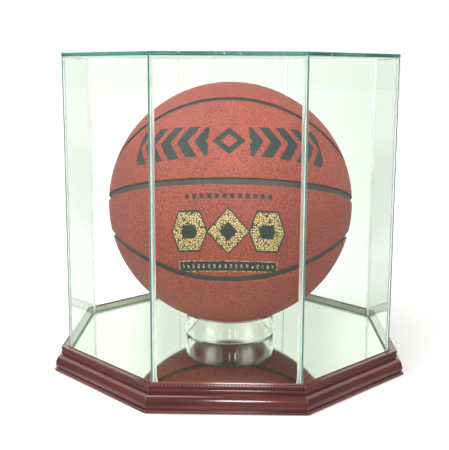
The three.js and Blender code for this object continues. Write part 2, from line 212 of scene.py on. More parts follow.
class BallSettings(bpy.types.PropertyGroup):
    """The ball's covers, channels and foil"""

    radius: length_setting("Ball Radius", 0.12, "Radius over the covers")
    tilt: angle_setting("Ball Tilt", 18, "How far the front of the middle seam is turned up")
    loop_mean: angle_setting("Loop Mean", 31.5, "Mean latitude of the looped seams")
    loop_swing: angle_setting("Loop Swing", 14, "Swing of the looped seams, twice round")
    loop_flat: angle_setting("Loop Flat", 1.8, "Flattening of the looped seams, four times round")
    cover_thick: length_setting("Cover Thickness", 0.0015, "Thickness of a leather cover")
    edge_round: length_setting("Edge Round", 0.0013, "Radius that a cover's edge is rolled down with")
    channel: length_setting("Channel Width", 0.0048, "Width of the middle channels between the covers")
    loop_channel: length_setting("Loop Channel", 0.0052, "Width of the looped channels")
    wall: length_setting("Carcass Wall", 0.002, "Wall of the rubber carcass")
    seat_gap: length_setting("Seat Gap", 0.0001, "Gap between the carcass and its covers")
    valve_latitude: angle_setting("Valve Latitude", 21, "Latitude of the valve, at the back")
    valve_radius: length_setting("Valve Radius", 0.003, "Radius of the valve's plug")
    valve_length: length_setting("Valve Length", 0.007, "Length of the valve's plug")
    valve_sink: length_setting("Valve Sink", 0.0006, "How far the valve lies under the leather")
    valve_clearance: length_setting("Valve Clearance", 0.00035, "Gap round the valve's plug")
    valve_edge: length_setting("Valve Edge", 0.0004, "Radius on the valve's edges")
    needle_radius: length_setting("Needle Radius", 0.0008, "Radius of the needle hole")
    needle_depth: length_setting("Needle Depth", 0.005, "Depth of the needle hole")
    # Painted shade: below this depth a cover's rolled edge takes the rubber's dark colour, for the shade
    # down in a channel
    edge_shade_depth: length_setting("Edge Paint", 0.0003, "Depth at which a leather's edge turns dark")
    pebble_pitch: length_setting("Pebble Pitch", 0.0021, "Pitch of the leather's pebbles")
    pebble_height: length_setting("Pebble Height", 0.00016, "Height of the leather's pebbles")
    columns: count_setting("Columns", 84, 12, "Columns of a cover's grid")
    rows: count_setting("Rows", 26, 4, "Plain rows of a cover's grid")
    # Lit and shaded copies of one leather: painted highlight on the pebble tops and painted shade in the
    # hollows between them
    pebble: colour_setting("Pebble", (0.465, 0.085, 0.059), "Top of a pebble")
    valley_shade: colour_setting("Valley", (0.22, 0.042, 0.029), "Valley between pebbles")
    ink: colour_setting("Ink", (0.008, 0.028, 0.027), "Dark print")
    foil: colour_setting("Foil", (0.8, 0.58, 0.25), "Gold foil")
    rubber: colour_setting("Rubber", (0.058, 0.05, 0.043), "Channel rubber")


class StageSettings(bpy.types.PropertyGroup):
    """Floor, light and camera"""

    camera_place: FloatVectorProperty(
        name="Camera", description="Where the camera stands", default=(0.01201, -0.81426, 0.28608),
        subtype="TRANSLATION",
    )
    camera_yaw: angle_setting("Yaw", 1.26, "Turn of the camera to the left")
    camera_pitch: angle_setting("Pitch", -9.507, "Tilt of the camera")
    camera_roll: angle_setting("Roll", -0.246, "Roll of the camera")
    camera_lens: number_setting("Lens", 65.4, "Focal length on a 36 mm sensor")
    camera_shift: number_setting("Shift", -0.04, "Vertical shift of the frame")
    floor_size: length_setting("Floor Size", 12, "Width of the floor")
    floor_front: length_setting("Floor Front", 0.27, "Reach of the floor in front of the case")
    floor: colour_setting("Floor", (0.8, 0.79, 0.79), "Pale floor")
    floor_lift: number_setting("Floor Lift", 0.75, "White added to the far floor in view")
    floor_near: number_setting("Near Lift", 0.35, "Share of that white near the case")
    floor_lit: number_setting("Lit Floor", 0.4, "Brightness of the far floor without that white")
    floor_glass: number_setting("Glass Lift", 0.78, "Share of that which the near floor has in glass")
    gleam_near: length_setting("Near Gleam", 0.165, "Distance up to which the floor is bright in gloss")
    gleam_far: length_setting("Far Gleam", 0.21, "Distance from which it is dim there")
    gleam: number_setting("Gleam", 0.17, "Brightness of the far floor in gloss")
    front_level: number_setting("Front Level", 0.25, "Brightness of the room in front")
    graze_high: number_setting("High Graze", 1.05, "Brightness of the backdrop at a graze")
    graze_low: number_setting("Low Graze", 0.6, "Brightness of the floor behind at a graze")
    front_sides: number_setting("Front Sides", 1.8, "Brightness of the room to both sides of the camera")
    back_left: number_setting("Back Left", 1.35, "Brightness of the backdrop's left through glass")
    back_right: number_setting("Back Right", 1.06, "Brightness of the backdrop's right through glass")
    back_green: colour_setting("Back Green", (0.92, 1.0, 0.93), "Cast of the backdrop's right through glass")
    back_middle: number_setting("Back Middle", 1.05, "Brightness of the backdrop's middle in the mirror")
    mirror_gain: number_setting("Mirror Gain", 1.23, "How much brighter its sides are in the mirror")
    ambient: number_setting("Ambient", 0.53, "Strength of the light from all round")
    front_power: power_setting("Front", 2.7, "Power of the light in front")
    strip_power: power_setting("Strip", 2.2, "Power of the narrow light")
    sky_power: power_setting("Sky", 17.5, "Power of the soft light above")
    left_power: power_setting("Left", 5.5, "Power of the left soft box")
    right_power: power_setting("Right", 5, "Power of the right soft box")


# Shader maths

class Wire:
    """An output of a node. Arithmetic on it adds Math nodes to the same tree."""

    def __init__(self, finish, socket):
        self.finish = finish
        self.socket = socket

    def math(self, operation, *values, clamp=False):
        settings = {"operation": operation, "use_clamp": clamp}
        return self.finish.node("ShaderNodeMath", settings, dict(enumerate(values)))

    def __add__(self, other):
        return self.math("ADD", self, other)

    def __sub__(self, other):
        return self.math("SUBTRACT", self, other)

    def __rsub__(self, other):
        return self.math("SUBTRACT", other, self)

    def __mul__(self, other):
        return self.math("MULTIPLY", self, other)

    def __truediv__(self, other):
        return self.math("DIVIDE", self, other)

    def __abs__(self):
        return self.math("ABSOLUTE", self)

    def cosine(self):
        return self.math("COSINE", self)

    def arcsine(self):
        return self.math("ARCSINE", self)

    def heading(self, ahead):
        """The angle of a direction with this part across and that part ahead."""
        return self.math("ARCTAN2", self, ahead)

    def fraction(self):
        return self.math("FRACT", self)

    def larger(self, other):
        return self.math("MAXIMUM", self, other)

    def smaller(self, other):
        return self.math("MINIMUM", self, other)

    def below(self, limit, softness):
        """1 where the value lies under the limit and 0 over it, with a soft step."""
        return self.math("ADD", (limit - self) * (1 / softness), 0.5, clamp=True)

    def above(self, limit, softness):
        return 1 - self.below(limit, softness)

    def none(self):
        """1 where a count of bounces is nought."""
        return self.below(0.5, 0.1)

    def some(self):
        return self.above(0.5, 0.1)

    def stripes(self, pitch, share, softness):
        """1 on stripes at a pitch, whose half width is a share of it."""
        return abs((self / pitch).fraction() - 0.5).below(share, softness)


class Finish:
    """A node tree under construction."""

    def __init__(self, tree, material=None):
        self.tree = tree
        self.material = material
        self.tree.nodes.clear()

    def node(self, kind, settings=None, values=None, output=0):
        """Adds a node, sets it up, fills or links its sockets, and returns one of its outputs."""
        node = self.tree.nodes.new(kind)
        for name, setting in (settings or {}).items():
            if name == "stops":
                self.place_stops(node.color_ramp, setting)
            else:
                setattr(node, name, setting)
        for key, value in (values or {}).items():
            if isinstance(value, Wire):
                self.tree.links.new(value.socket, node.inputs[key])
            else:
                node.inputs[key].default_value = value
        return Wire(self, node.outputs[output]) if node.outputs else None

    def outputs(self, kind, values, names):
        """Adds a node and gives wires from the outputs with those names."""
        sockets = self.node(kind, None, values).socket.node.outputs
        return [Wire(self, sockets[name]) for name in names]

    def split(self, vector):
        return self.outputs("ShaderNodeSeparateXYZ", {0: vector}, "XYZ")

    def rays(self, *names):
        return self.outputs("ShaderNodeLightPath", None, names)

    def length(self, vector):
        return self.node("ShaderNodeVectorMath", {"operation": "LENGTH"}, {0: vector}, "Value")

    def ramp(self, value, stops):
        return self.node("ShaderNodeValToRGB", {"stops": stops}, {0: value})

    def place_stops(self, ramp, stops):
        while len(ramp.elements) < len(stops):
            ramp.elements.new(1)
        for element, (place, colour) in zip(ramp.elements, stops):
            element.position = place
            element.color = colour

    def mix(self, share, first, second, blend="MIX"):
        """Mixes two colours: share 0 gives the first."""
        settings = {"data_type": "RGBA", "blend_type": blend}
        return self.node("ShaderNodeMix", settings, {0: share, 6: first, 7: second}, 2)

    def tinted(self, colour, shade):
        return self.mix(1.0, colour, shade, "MULTIPLY")

    def noise(self, vector, scale, detail, roughness=0.5):
        """Noise at one scale, or at three, one for each axis."""
        if isinstance(scale, tuple):
            vector = self.node("ShaderNodeVectorMath", {"operation": "MULTIPLY"}, {0: vector, 1: scale})
            scale = 1
        values = {"Vector": vector, "Scale": scale, "Detail": detail, "Roughness": roughness}
        return self.node("ShaderNodeTexNoise", None, values)

    def place(self):
        return self.node("ShaderNodeTexCoord", output="Object")

    def spread(self, value, low, high, to_low=0.0, to_high=1.0):
        """Maps low to high onto another range, held inside it."""
        return self.node("ShaderNodeMapRange", None, {0: value, 1: low, 2: high, 3: to_low, 4: to_high})

    def bump(self, height, distance):
        return self.node("ShaderNodeBump", None, {"Strength": 1.0, "Distance": distance, "Height": height})

    def surface(self, **values):
        """A Principled shader, with underscores for the spaces in its sockets' names."""
        named = {name.replace("_", " ").title().replace("Ior", "IOR"): v for name, v in values.items()}
        return self.node("ShaderNodeBsdfPrincipled", None, named)

    def output(self, shader):
        """Ends the tree, and gives the material that it belongs to."""
        self.node("ShaderNodeOutputMaterial", None, {"Surface": shader})
        return self.material

    def made(self, **values):
        return self.output(self.surface(**values))

    def clear(self, film, **values):
        """A clear surface that lets lamp light straight through, since there are no caustics here."""
        shader = self.surface(transmission_weight=1.0, **values)
        open_film = self.node("ShaderNodeBsdfTransparent", None, {"Color": film})
        lamp = self.node("ShaderNodeLightPath", output="Is Shadow Ray")
        return self.output(self.node("ShaderNodeMixShader", None, {0: lamp, 1: shader, 2: open_film}))


def new_finish(name):
    material = bpy.data.materials.new(name)
    material.use_nodes = True
    return Finish(material.node_tree, material)


# Finishes

# Depths of fine relief, and the widths that a stain, a border and the painted shade on a cover's edge bleed
# over
PORE_RELIEF = 0.000002
SAWN_RELIEF = 0.0002
GROUND_RELIEF = 0.00006
BEAD_RELIEF = 0.0001
FIBRE_RELIEF = 0.0003
FELT_RELIEF = 0.0004
RUBBER_RELIEF = 0.00008
STAIN_BLEED = 0.0001
BORDER_BLEED = 0.0004
EDGE_SHADE_BLEED = 0.0002

# Where the panes' ends and the beads go from their front look to their back look, and their shares there; at
# the back the ends' dark border fades and their painted glow grows, as painted backlight
EDGE_DEPTHS = (-0.02, 0.05)
BACKLIT_BORDER_SHARES = (0.9, 0.25)
PAINTED_GLOW_SHARES = (0.26, 0.4)
BEAD_DEPTHS = (-0.05, 0.05)
BEAD_SHARES = (1.0, 0.4)


def lacquered_wood(look):
    """Cherry-stained wood under gloss lacquer, with its grain along each length."""
    finish = new_finish("lacquered_wood")
    timber = finish.node("ShaderNodeAttribute", {"attribute_name": "timber"}, output="Vector")
    along, depth, height = finish.split(timber)
    pores = finish.noise(timber, (14, 1100, 1100), 3, 0.6)
    figure = finish.noise(timber, (5, 70, 90), 2)
    patches = finish.noise(timber, (22, 40, 40), 1)
    stops = [(0.3, look.stain_dark[:]), (0.52, look.stain[:]), (0.78, look.stain_red[:])]
    base = finish.ramp(figure * 0.6 + patches * 0.4, stops)
    streaks = finish.spread(pores, 0.38, 0.62, 0.75, 1.1)
    colour = finish.tinted(base, streaks)
    low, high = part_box("moulding_front")
    lip_edge = low.y + look.foot_stand
    notch = (along / look.notch_pitch).fraction() - 0.5
    rim_end = lip_edge + lean_in(look.rim_height, look.facet_lean) + STAIN_BLEED
    on_lip = height.above(high.z - look.rim_height - 2 * STAIN_BLEED, 2 * STAIN_BLEED)
    on_lip = on_lip * depth.below(rim_end, STAIN_BLEED)
    # Painted shade: the milled notches along the lip's rim take the dark stain and no lacquer, so the rim's
    # highlight breaks into dots
    painted_notch_shade = on_lip * abs(notch).below(look.notch_width, 0.1)
    ledge_end = -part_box("base_board")[0].y + look.rebate_gap + look.inner_round + look.fillet_width
    ledge_end = ledge_end + lean_in(look.ledge_drop, look.facet_lean)
    on_fillet = depth.above(-ledge_end, STAIN_BLEED) * height.above(high.z - look.ledge_drop, STAIN_BLEED)
    # Painted highlight: the lip's rim and the fillet at the glass take a lighter stain
    colour = finish.mix(on_lip.larger(on_fillet), colour, look.stain_painted_highlight[:])
    colour = finish.mix(painted_notch_shade, colour, look.stain_dark[:])
    relief = on_lip * (0.25 - notch * notch) * (4 * look.notch_depth) + pores * PORE_RELIEF
    return finish.made(
        base_color=colour,
        roughness=finish.spread(figure, 0.3, 0.7, 0.3, 0.42),
        specular_ior_level=0.1,
        coat_weight=1 - painted_notch_shade,
        coat_roughness=0.08,
        coat_ior=1.5,
        normal=finish.bump(relief, 1.0),
    )


def bare_timber(look):
    """Unfinished wood in the rebate, on the underside and in the mitres."""
    finish = new_finish("bare_timber")
    timber = finish.node("ShaderNodeAttribute", {"attribute_name": "timber"}, output="Vector")
    pores = finish.noise(timber, (16, 900, 900), 3)
    figure = finish.noise(timber, (7, 90, 90), 2)
    shade = finish.spread(pores * 0.5 + figure * 0.5, 0.35, 0.65, 0.7, 1.1)
    colour = finish.tinted(look.timber[:], shade)
    return finish.made(base_color=colour, roughness=0.7, normal=finish.bump(pores, SAWN_RELIEF))


def clear_glass(look):
    """Float glass with a faint drift in its tint."""
    finish = new_finish("clear_glass")
    drift = finish.spread(finish.noise(finish.place(), 9, 2), 0.35, 0.65, 0.985, 1.0)
    colour = finish.tinted(look.tint[:], drift)
    return finish.clear(look.tint[:], base_color=colour, roughness=0.0, ior=1.5)


def pane_edge(look):
    """Ground ends and arrises of an upright pane: a pale painted light and a painted glow stand in for light
    that comes through the glass, stronger towards the back, and a dark green line runs along their outer
    border, fading towards the back as painted backlight.
    """
    finish = new_finish("pane_edge")
    place = finish.place()
    across, depth = finish.split(place)[:2]
    heading = across.heading(depth * -1)
    folded = ((heading / SIDE_TURN + 0.5).fraction() - 0.5) * SIDE_TURN
    radius = finish.length(finish.node("ShaderNodeCombineXYZ", None, {0: across, 1: depth}))
    apothem = radius * folded.cosine()
    outer = -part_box("pane_front")[0].y
    border = apothem.above(outer - look.edge_border, BORDER_BLEED)
    # The dark green border fades towards the back: painted backlight
    border = border * finish.spread(depth, *EDGE_DEPTHS, *BACKLIT_BORDER_SHARES)
    drift = finish.spread(finish.noise(place, (40, 40, 90), 2), 0.35, 0.65, 0.86, 1.0)
    # Painted light: the pale colour of the ends stands in for light that comes through the glass
    colour = finish.mix(border, look.edge_painted_light[:], look.edge_dark[:])
    colour = finish.tinted(colour, drift)
    # Painted glow: emission that stands in for light coming down the glass, stronger at the back
    painted_glow = finish.tinted(colour, finish.spread(depth, *EDGE_DEPTHS, *PAINTED_GLOW_SHARES))
    grit = finish.noise(place, 2600, 2)
    return finish.made(
        base_color=colour,
        roughness=0.28,
        ior=1.5,
        emission_color=painted_glow,
        emission_strength=1.0,
        normal=finish.bump(grit, GROUND_RELIEF),
    )


def ground_edge(look):
    """Green edge of the glass, ground and satin, with drifts of a lighter green and pale nicks."""
    finish = new_finish("ground_edge")
    place = finish.place()
    drift = finish.noise(place, 26, 2)
    grit = finish.noise(place, 2600, 2)
    nicks = finish.noise(place, 420, 1).above(0.74, 0.03)
    green = finish.mix(finish.spread(drift, 0.4, 0.6), look.edge_dark[:], look.edge[:])
    colour = finish.mix(nicks * 0.7, green, look.edge_nick[:])
    return finish.made(
        base_color=colour,
        roughness=0.28,
        ior=1.5,
        normal=finish.bump(grit, GROUND_RELIEF),
    )


def silicone(look, name, transmission, roughness):
    """Tooled silicone with faint clouds, fainter in the rear corners."""
    finish = new_finish(name)
    place = finish.place()
    cloud = finish.noise(place, (300, 300, 70), 2)
    ripple = finish.noise(place, (500, 500, 120), 2)
    colour = finish.mix(finish.spread(cloud, 0.4, 0.65), look.bead[:], look.bead_cloud[:])
    return finish.made(
        base_color=colour,
        alpha=finish.spread(finish.split(place)[1], *BEAD_DEPTHS, *BEAD_SHARES),
        roughness=roughness,
        ior=1.2,
        transmission_weight=transmission,
        normal=finish.bump(ripple, BEAD_RELIEF),
    )


def mirror_silver(look):
    """The silvered back, seen through the mirror's glass."""
    finish = new_finish("mirror_silver")
    haze = finish.noise(finish.place(), 14, 3)
    colour = finish.tinted(look.silver[:], finish.spread(haze, 0.3, 0.7, 0.975, 1.0))
    return finish.made(
        base_color=colour, metallic=1.0, roughness=finish.spread(haze, 0.35, 0.7, 0.0, 0.02)
    )


def clear_acrylic(look):
    """Polished acrylic with faint rub marks round the strip."""
    finish = new_finish("clear_acrylic")
    place = finish.place()
    rubs = finish.noise(place, (60, 60, 1600), 2)
    drift = finish.spread(finish.noise(place, 60, 2), 0.3, 0.7, 0.985, 1.0)
    colour = finish.tinted(look.acrylic[:], drift)
    return finish.clear(
        look.acrylic[:],
        base_color=colour,
        roughness=finish.spread(rubs, 0.55, 0.8, 0.0, 0.05),
        ior=1.12,
        coat_weight=1.0,
        coat_roughness=0.02,
    )


def hardboard(look):
    """Pressed brown fibre."""
    finish = new_finish("hardboard")
    place = finish.place()
    fibre = finish.noise(place, (500, 900, 500), 4, 0.65)
    cloud = finish.noise(place, 40, 3)
    stops = [(0.35, look.board_dark[:]), (0.65, look.board_light[:])]
    colour = finish.ramp(fibre * 0.7 + cloud * 0.3, stops)
    return finish.made(base_color=colour, roughness=0.75, normal=finish.bump(fibre, FIBRE_RELIEF))


def pad_felt(look):
    """Black pressed felt with loose hairs."""
    finish = new_finish("pad_felt")
    place = finish.place()
    hairs = finish.noise(place, (1400, 700, 1400), 4, 0.7)
    stops = [(0.35, look.felt_dark[:]), (0.7, look.felt_light[:])]
    colour = finish.ramp(hairs, stops)
    return finish.made(
        base_color=colour, roughness=0.95, sheen_weight=0.4, normal=finish.bump(hairs, FELT_RELIEF)
    )


def nail_steel(look):
    """Bright rolled strip steel."""
    finish = new_finish("nail_steel")
    lines = finish.noise(finish.place(), (900, 900, 60), 3)
    shade = finish.spread(lines, 0.3, 0.7, 0.75, 1.0)
    colour = finish.tinted(look.steel[:], shade)
    return finish.made(
        base_color=colour, metallic=1.0, roughness=finish.spread(lines, 0.3, 0.7, 0.28, 0.45)
    )


def ball_frame(finish, look):
    """Heading, latitude and place in the ball's own frame, with its middle seam level."""
    values = {0: finish.place(), 1: BALL_CENTRE}
    centred = finish.node("ShaderNodeVectorMath", {"operation": "SUBTRACT"}, values)
    level = finish.node("ShaderNodeMapping", None, {"Vector": centred, "Rotation": (look.tilt, 0, 0)})
    across, depth, rise = finish.split(level)
    return level, across.heading(depth * -1), (rise / look.radius).arcsine()


# Printed marks: places and half sizes as angles on the ball, in radians, and strokes and slopes as
# shares of a pitch or a height
CHEVRON_LATITUDE = 0.315
CHEVRON_PITCH = 0.15
CHEVRON_REACH = 0.8
CHEVRON_HEIGHT = 0.115
CHEVRON_START = 0.16
CHEVRON_SLANT = 0.7
CHEVRON_STROKE = 0.31
CHEVRON_FLARE = 0.05
CHEVRON_SOFT = 0.05
CORE_WIDTH = 0.13
CORE_STROKE = 0.5
DASH_LATITUDE = -0.108
DASH_PITCH = 0.056
DASH_HEIGHT = 0.017
DASH_REACH = 0.33
DASH_STROKE = 0.28
DASH_SOFT = 0.1
FOIL_LATITUDE = -0.365
FOIL_HEIGHT = 0.165
FOIL_WIDTH = 0.1485
FOIL_OUTLINE = 0.016
FOIL_CORE = -0.55
FOIL_EDGE = 0.04
BAR_PLACE = 0.29
BAR_WIDTH = 0.125
BAR_SLOPE = 0.5
BAR_POINT = 1.05
BAR_FLAT = 0.86
TAIL_LATITUDE = -0.642
TAIL_HEIGHT = 0.04
TAIL_REACH = 0.37
TAIL_RIM = 0.008
STUD_PITCH = 0.04
STUD_STROKE = 0.2
STUD_SOFT = 0.08
STUD_INSET = 0.024
PRINT_EDGE = 0.006


def chevron_row(heading, latitude):
    """Dark print: a row of chevrons on both sides of a lozenge, over a row of dashes."""
    rise = abs(latitude - CHEVRON_LATITUDE)
    reach = abs(heading)
    half = reach * CHEVRON_FLARE + CHEVRON_HEIGHT
    teeth = (reach + rise * CHEVRON_SLANT).stripes(CHEVRON_PITCH, CHEVRON_STROKE, CHEVRON_SOFT)
    row = teeth * (rise - half).below(0, PRINT_EDGE) * reach.below(CHEVRON_REACH, PRINT_EDGE)
    row = row * reach.above(CHEVRON_START, PRINT_EDGE)
    lozenge = reach / CORE_WIDTH + rise / CHEVRON_HEIGHT
    middle = lozenge.below(1, CHEVRON_SOFT) - lozenge.below(CORE_STROKE, CHEVRON_SOFT)
    dashes = heading.stripes(DASH_PITCH, DASH_STROKE, DASH_SOFT)
    dashes = dashes * abs(latitude - DASH_LATITUDE).below(DASH_HEIGHT, PRINT_EDGE)
    dashes = dashes * reach.below(DASH_REACH, PRINT_EDGE)
    return row.larger(middle).larger(dashes)


def foil_masks(finish, heading, latitude):
    """The gold foil in the lower front panel, and the dark print that outlines it."""
    across = abs(heading * latitude.cosine())
    rise = abs(latitude - FOIL_LATITUDE)
    lozenge = across / FOIL_WIDTH + rise / FOIL_HEIGHT - 1
    bar = abs(across - BAR_PLACE) / BAR_WIDTH
    hexagon = (bar + rise / FOIL_HEIGHT * BAR_SLOPE - BAR_POINT).larger(rise / FOIL_HEIGHT - BAR_FLAT)
    shape = lozenge.smaller(hexagon)
    outline = shape.below(FOIL_OUTLINE / FOIL_HEIGHT, FOIL_EDGE)
    core = lozenge.below(FOIL_CORE, FOIL_EDGE) + hexagon.below(FOIL_CORE, FOIL_EDGE)
    foil = shape.below(0, FOIL_EDGE) * (1 - core)
    tail = (across - TAIL_REACH).larger(abs(latitude - TAIL_LATITUDE) - TAIL_HEIGHT)
    studs = across.stripes(STUD_PITCH, STUD_STROKE, STUD_SOFT) * tail.below(-STUD_INSET, PRINT_EDGE)
    dark = tail.below(TAIL_RIM, PRINT_EDGE)
    rim = dark - tail.below(0, PRINT_EDGE)
    return foil.larger(rim).larger(studs), outline.larger(dark)


def pebbled_leather(look):
    """Pebbled composition leather with dark print and gold foil on its front panels."""
    finish = new_finish("pebbled_leather")
    level, heading, latitude = ball_frame(finish, look)
    settings = {"feature": "DISTANCE_TO_EDGE"}
    values = {"Vector": level, "Scale": 1 / look.pebble_pitch, "Randomness": 0.85}
    cells = finish.node("ShaderNodeTexVoronoi", settings, values)
    rounded = {"interpolation_type": "SMOOTHSTEP"}
    pebbles = finish.node("ShaderNodeMapRange", rounded, {0: cells, 1: 0.0, 2: 0.3})
    wear = finish.spread(finish.noise(level, 14, 3), 0.3, 0.7, 0.88, 1.1)
    # Painted highlight on the pebble tops and painted shade in the hollows between them
    leather = finish.mix(pebbles, look.valley_shade[:], look.pebble[:])
    leather = finish.tinted(leather, wear)
    foil, outline = foil_masks(finish, heading, latitude)
    ink = chevron_row(heading, latitude).larger(outline)
    printed = finish.mix(ink * (pebbles * 0.05 + 0.93), leather, look.ink[:])
    foiled = foil * pebbles.above(0.3, 0.3)
    coloured = finish.mix(foiled, printed, look.foil[:])
    # Painted shade: the covers' rolled edges down in the channels take the rubber's dark colour
    painted = finish.length(level).below(look.radius - look.edge_shade_depth, EDGE_SHADE_BLEED)
    colour = finish.mix(painted, coloured, look.rubber[:])
    return finish.made(
        base_color=colour,
        metallic=foiled * 0.35,
        roughness=0.56 - foiled * 0.2 + wear * 0.05,
        normal=finish.bump(pebbles, look.pebble_height),
    )


def channel_rubber(look):
    """Dark rubber with a fine moulded grain."""
    finish = new_finish("channel_rubber")
    place = finish.place()
    grain = finish.noise(place, 1500, 2)
    shade = finish.spread(finish.noise(place, 60, 2), 0.3, 0.7, 0.8, 1.2)
    colour = finish.tinted(look.rubber[:], shade)
    return finish.made(base_color=colour, roughness=0.55, normal=finish.bump(grain, RUBBER_RELIEF))


# Modelling steps

def only(piece):
    """Makes a piece the active one, selected alone."""
    bpy.ops.object.select_all(action="DESELECT")
    piece.select_set(True)
    bpy.context.view_layer.objects.active = piece


@contextmanager
def editing(piece, mode="FACE", whole=False):
    """Edit mode on one piece alone, with all of it selected or nothing."""
    only(piece)
    bpy.ops.object.mode_set(mode="EDIT")
    bpy.ops.mesh.select_mode(type=mode)
    bpy.ops.mesh.select_all(action="SELECT" if whole else "DESELECT")
    yield bmesh.from_edit_mesh(piece.data)
    bpy.ops.object.mode_set(mode="OBJECT")


def choose(piece, parts, wanted):
    """Selects the faces, edges or points for which wanted is true."""
    for part in parts:
        part.select_set(bool(wanted(part)))
    bmesh.update_edit_mesh(piece.data)


def settle(piece, smooth_under=None):
    """Puts a piece's place into its mesh and smooths it under an angle, given in degrees."""
    only(piece)
    bpy.ops.object.transform_apply(location=True, rotation=True, scale=True)
    if smooth_under:
        bpy.ops.object.shade_smooth_by_angle(angle=math.radians(smooth_under))
    return piece


def added(primitive, name, **settings):
    """Adds a primitive, alone in the selection, and names it and its mesh."""
    bpy.ops.object.select_all(action="DESELECT")
    primitive(**settings)
    piece = bpy.context.object
    piece.name = piece.data.name = name
    return piece


def copied(piece, name, turn):
    """A copy with its own mesh, turned to its place."""
    twin = piece.copy()
    twin.data = piece.data.copy()
    twin.name = twin.data.name = name
    bpy.context.collection.objects.link(twin)
    twin.data.transform(turn)
    return twin


def applied(piece, kind, **settings):
    """Adds a modifier, sets it and applies it."""
    modifier = piece.modifiers.new(kind.lower(), kind)
    for name, setting in settings.items():
        setattr(modifier, name, setting)
    only(piece)
    bpy.ops.object.modifier_apply(modifier=modifier.name)
    return piece


def cut(piece, cutter):
    applied(piece, "BOOLEAN", operation="DIFFERENCE", solver="EXACT", object=cutter)
    bpy.data.objects.remove(cutter)


def outward(piece):
    """Merges doubled points and turns the faces outwards."""
    with editing(piece, whole=True):
        bpy.ops.mesh.remove_doubles(threshold=DOUBLES)
        bpy.ops.mesh.normals_make_consistent(inside=False)


def outline_face(name, points):
    """A flat face through points, made by moving a disc's corners."""
    disc = {"vertices": len(points), "fill_type": "NGON"}
    face = added(bpy.ops.mesh.primitive_circle_add, name, **disc)
    for vertex, point in zip(face.data.vertices, points):
        vertex.co = point
    return face


def arc(centre, radii, start, stop, steps):
    """Points of an elliptic arc, from and to an angle in degrees."""
    points = []
    for i in range(steps + 1):
        angle = math.radians(start + (stop - start) * i / steps)
        points.append((centre[0] + radii[0] * math.cos(angle), centre[1] + radii[1] * math.sin(angle)))
    return points


def quarter(centre, radius, start, steps):
    """Points of a quarter round, from an angle in degrees."""
    return arc(centre, (radius, radius), start, start + 90, steps)


def flat_arc(centre, radii, fullness, steps):
    """Points of an outward half oval whose flanks are flatter the less its fullness is under 2."""
    points = []
    for i in range(steps + 1):
        angle = math.radians(180 * i / steps - 90)
        out, up = math.cos(angle), math.sin(angle)
        points.append((
            centre[0] + radii[0] * abs(out) ** (2 / fullness),
            centre[1] + radii[1] * math.copysign(abs(up) ** (2 / fullness), up),
        ))
    return points


def lean_in(height, lean):
    """How far a leaning facet draws in over its height."""
    return height * math.tan(lean)


def leaning(look, foot, top, height):
    """Points of a barely rounded facet that leans in from its foot to its top."""
    middle = foot - lean_in(height / 2, look.facet_lean - look.facet_swell)
    return [(foot, top - height), (middle, top - height / 2), (foot - lean_in(height, look.facet_lean), top)]


def ease_rims(piece, offset, segments):
    """Bevels the level edges round the top and the foot of a plate."""
    with editing(piece, "EDGE") as shape:
        choose(piece, shape.edges, lambda e: abs(e.verts[0].co.z - e.verts[1].co.z) < TOUCH)
        bpy.ops.mesh.bevel(offset=offset, segments=segments, affect="EDGES")


def octagon_plate(name, low, high, edge, segments):
    """An octagonal plate between two corners of its box, with an arris round its top and its foot."""
    plate = settle(added(
        bpy.ops.mesh.primitive_cylinder_add, name,
        vertices=len(SIDES), radius=high.x * CORNER_STRETCH, depth=high.z - low.z,
        location=(0, 0, (low.z + high.z) / 2), rotation=(0, 0, SIDE_TURN / 2),
    ))
    ease_rims(plate, edge, segments)
    return plate


def mark_faces(piece, wanted, index):
    """Puts the faces for which wanted is true in another of the piece's finishes."""
    for face in piece.data.polygons:
        if wanted(face):
            face.material_index = index


def dress(piece, body, slot, node, *materials):
    """Gives a piece its body and, unless it has them, its finishes, and hides the imported solid that it
    stands for.
    """
    if not len(piece.data.materials):
        for material in materials:
            piece.data.materials.append(material)
    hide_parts(node)
    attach(piece, body)


def finish_node(name, material):
    """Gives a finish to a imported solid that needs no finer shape."""
    for slot in frame["nodes"][name].material_slots:
        slot.material = material


# Pieces

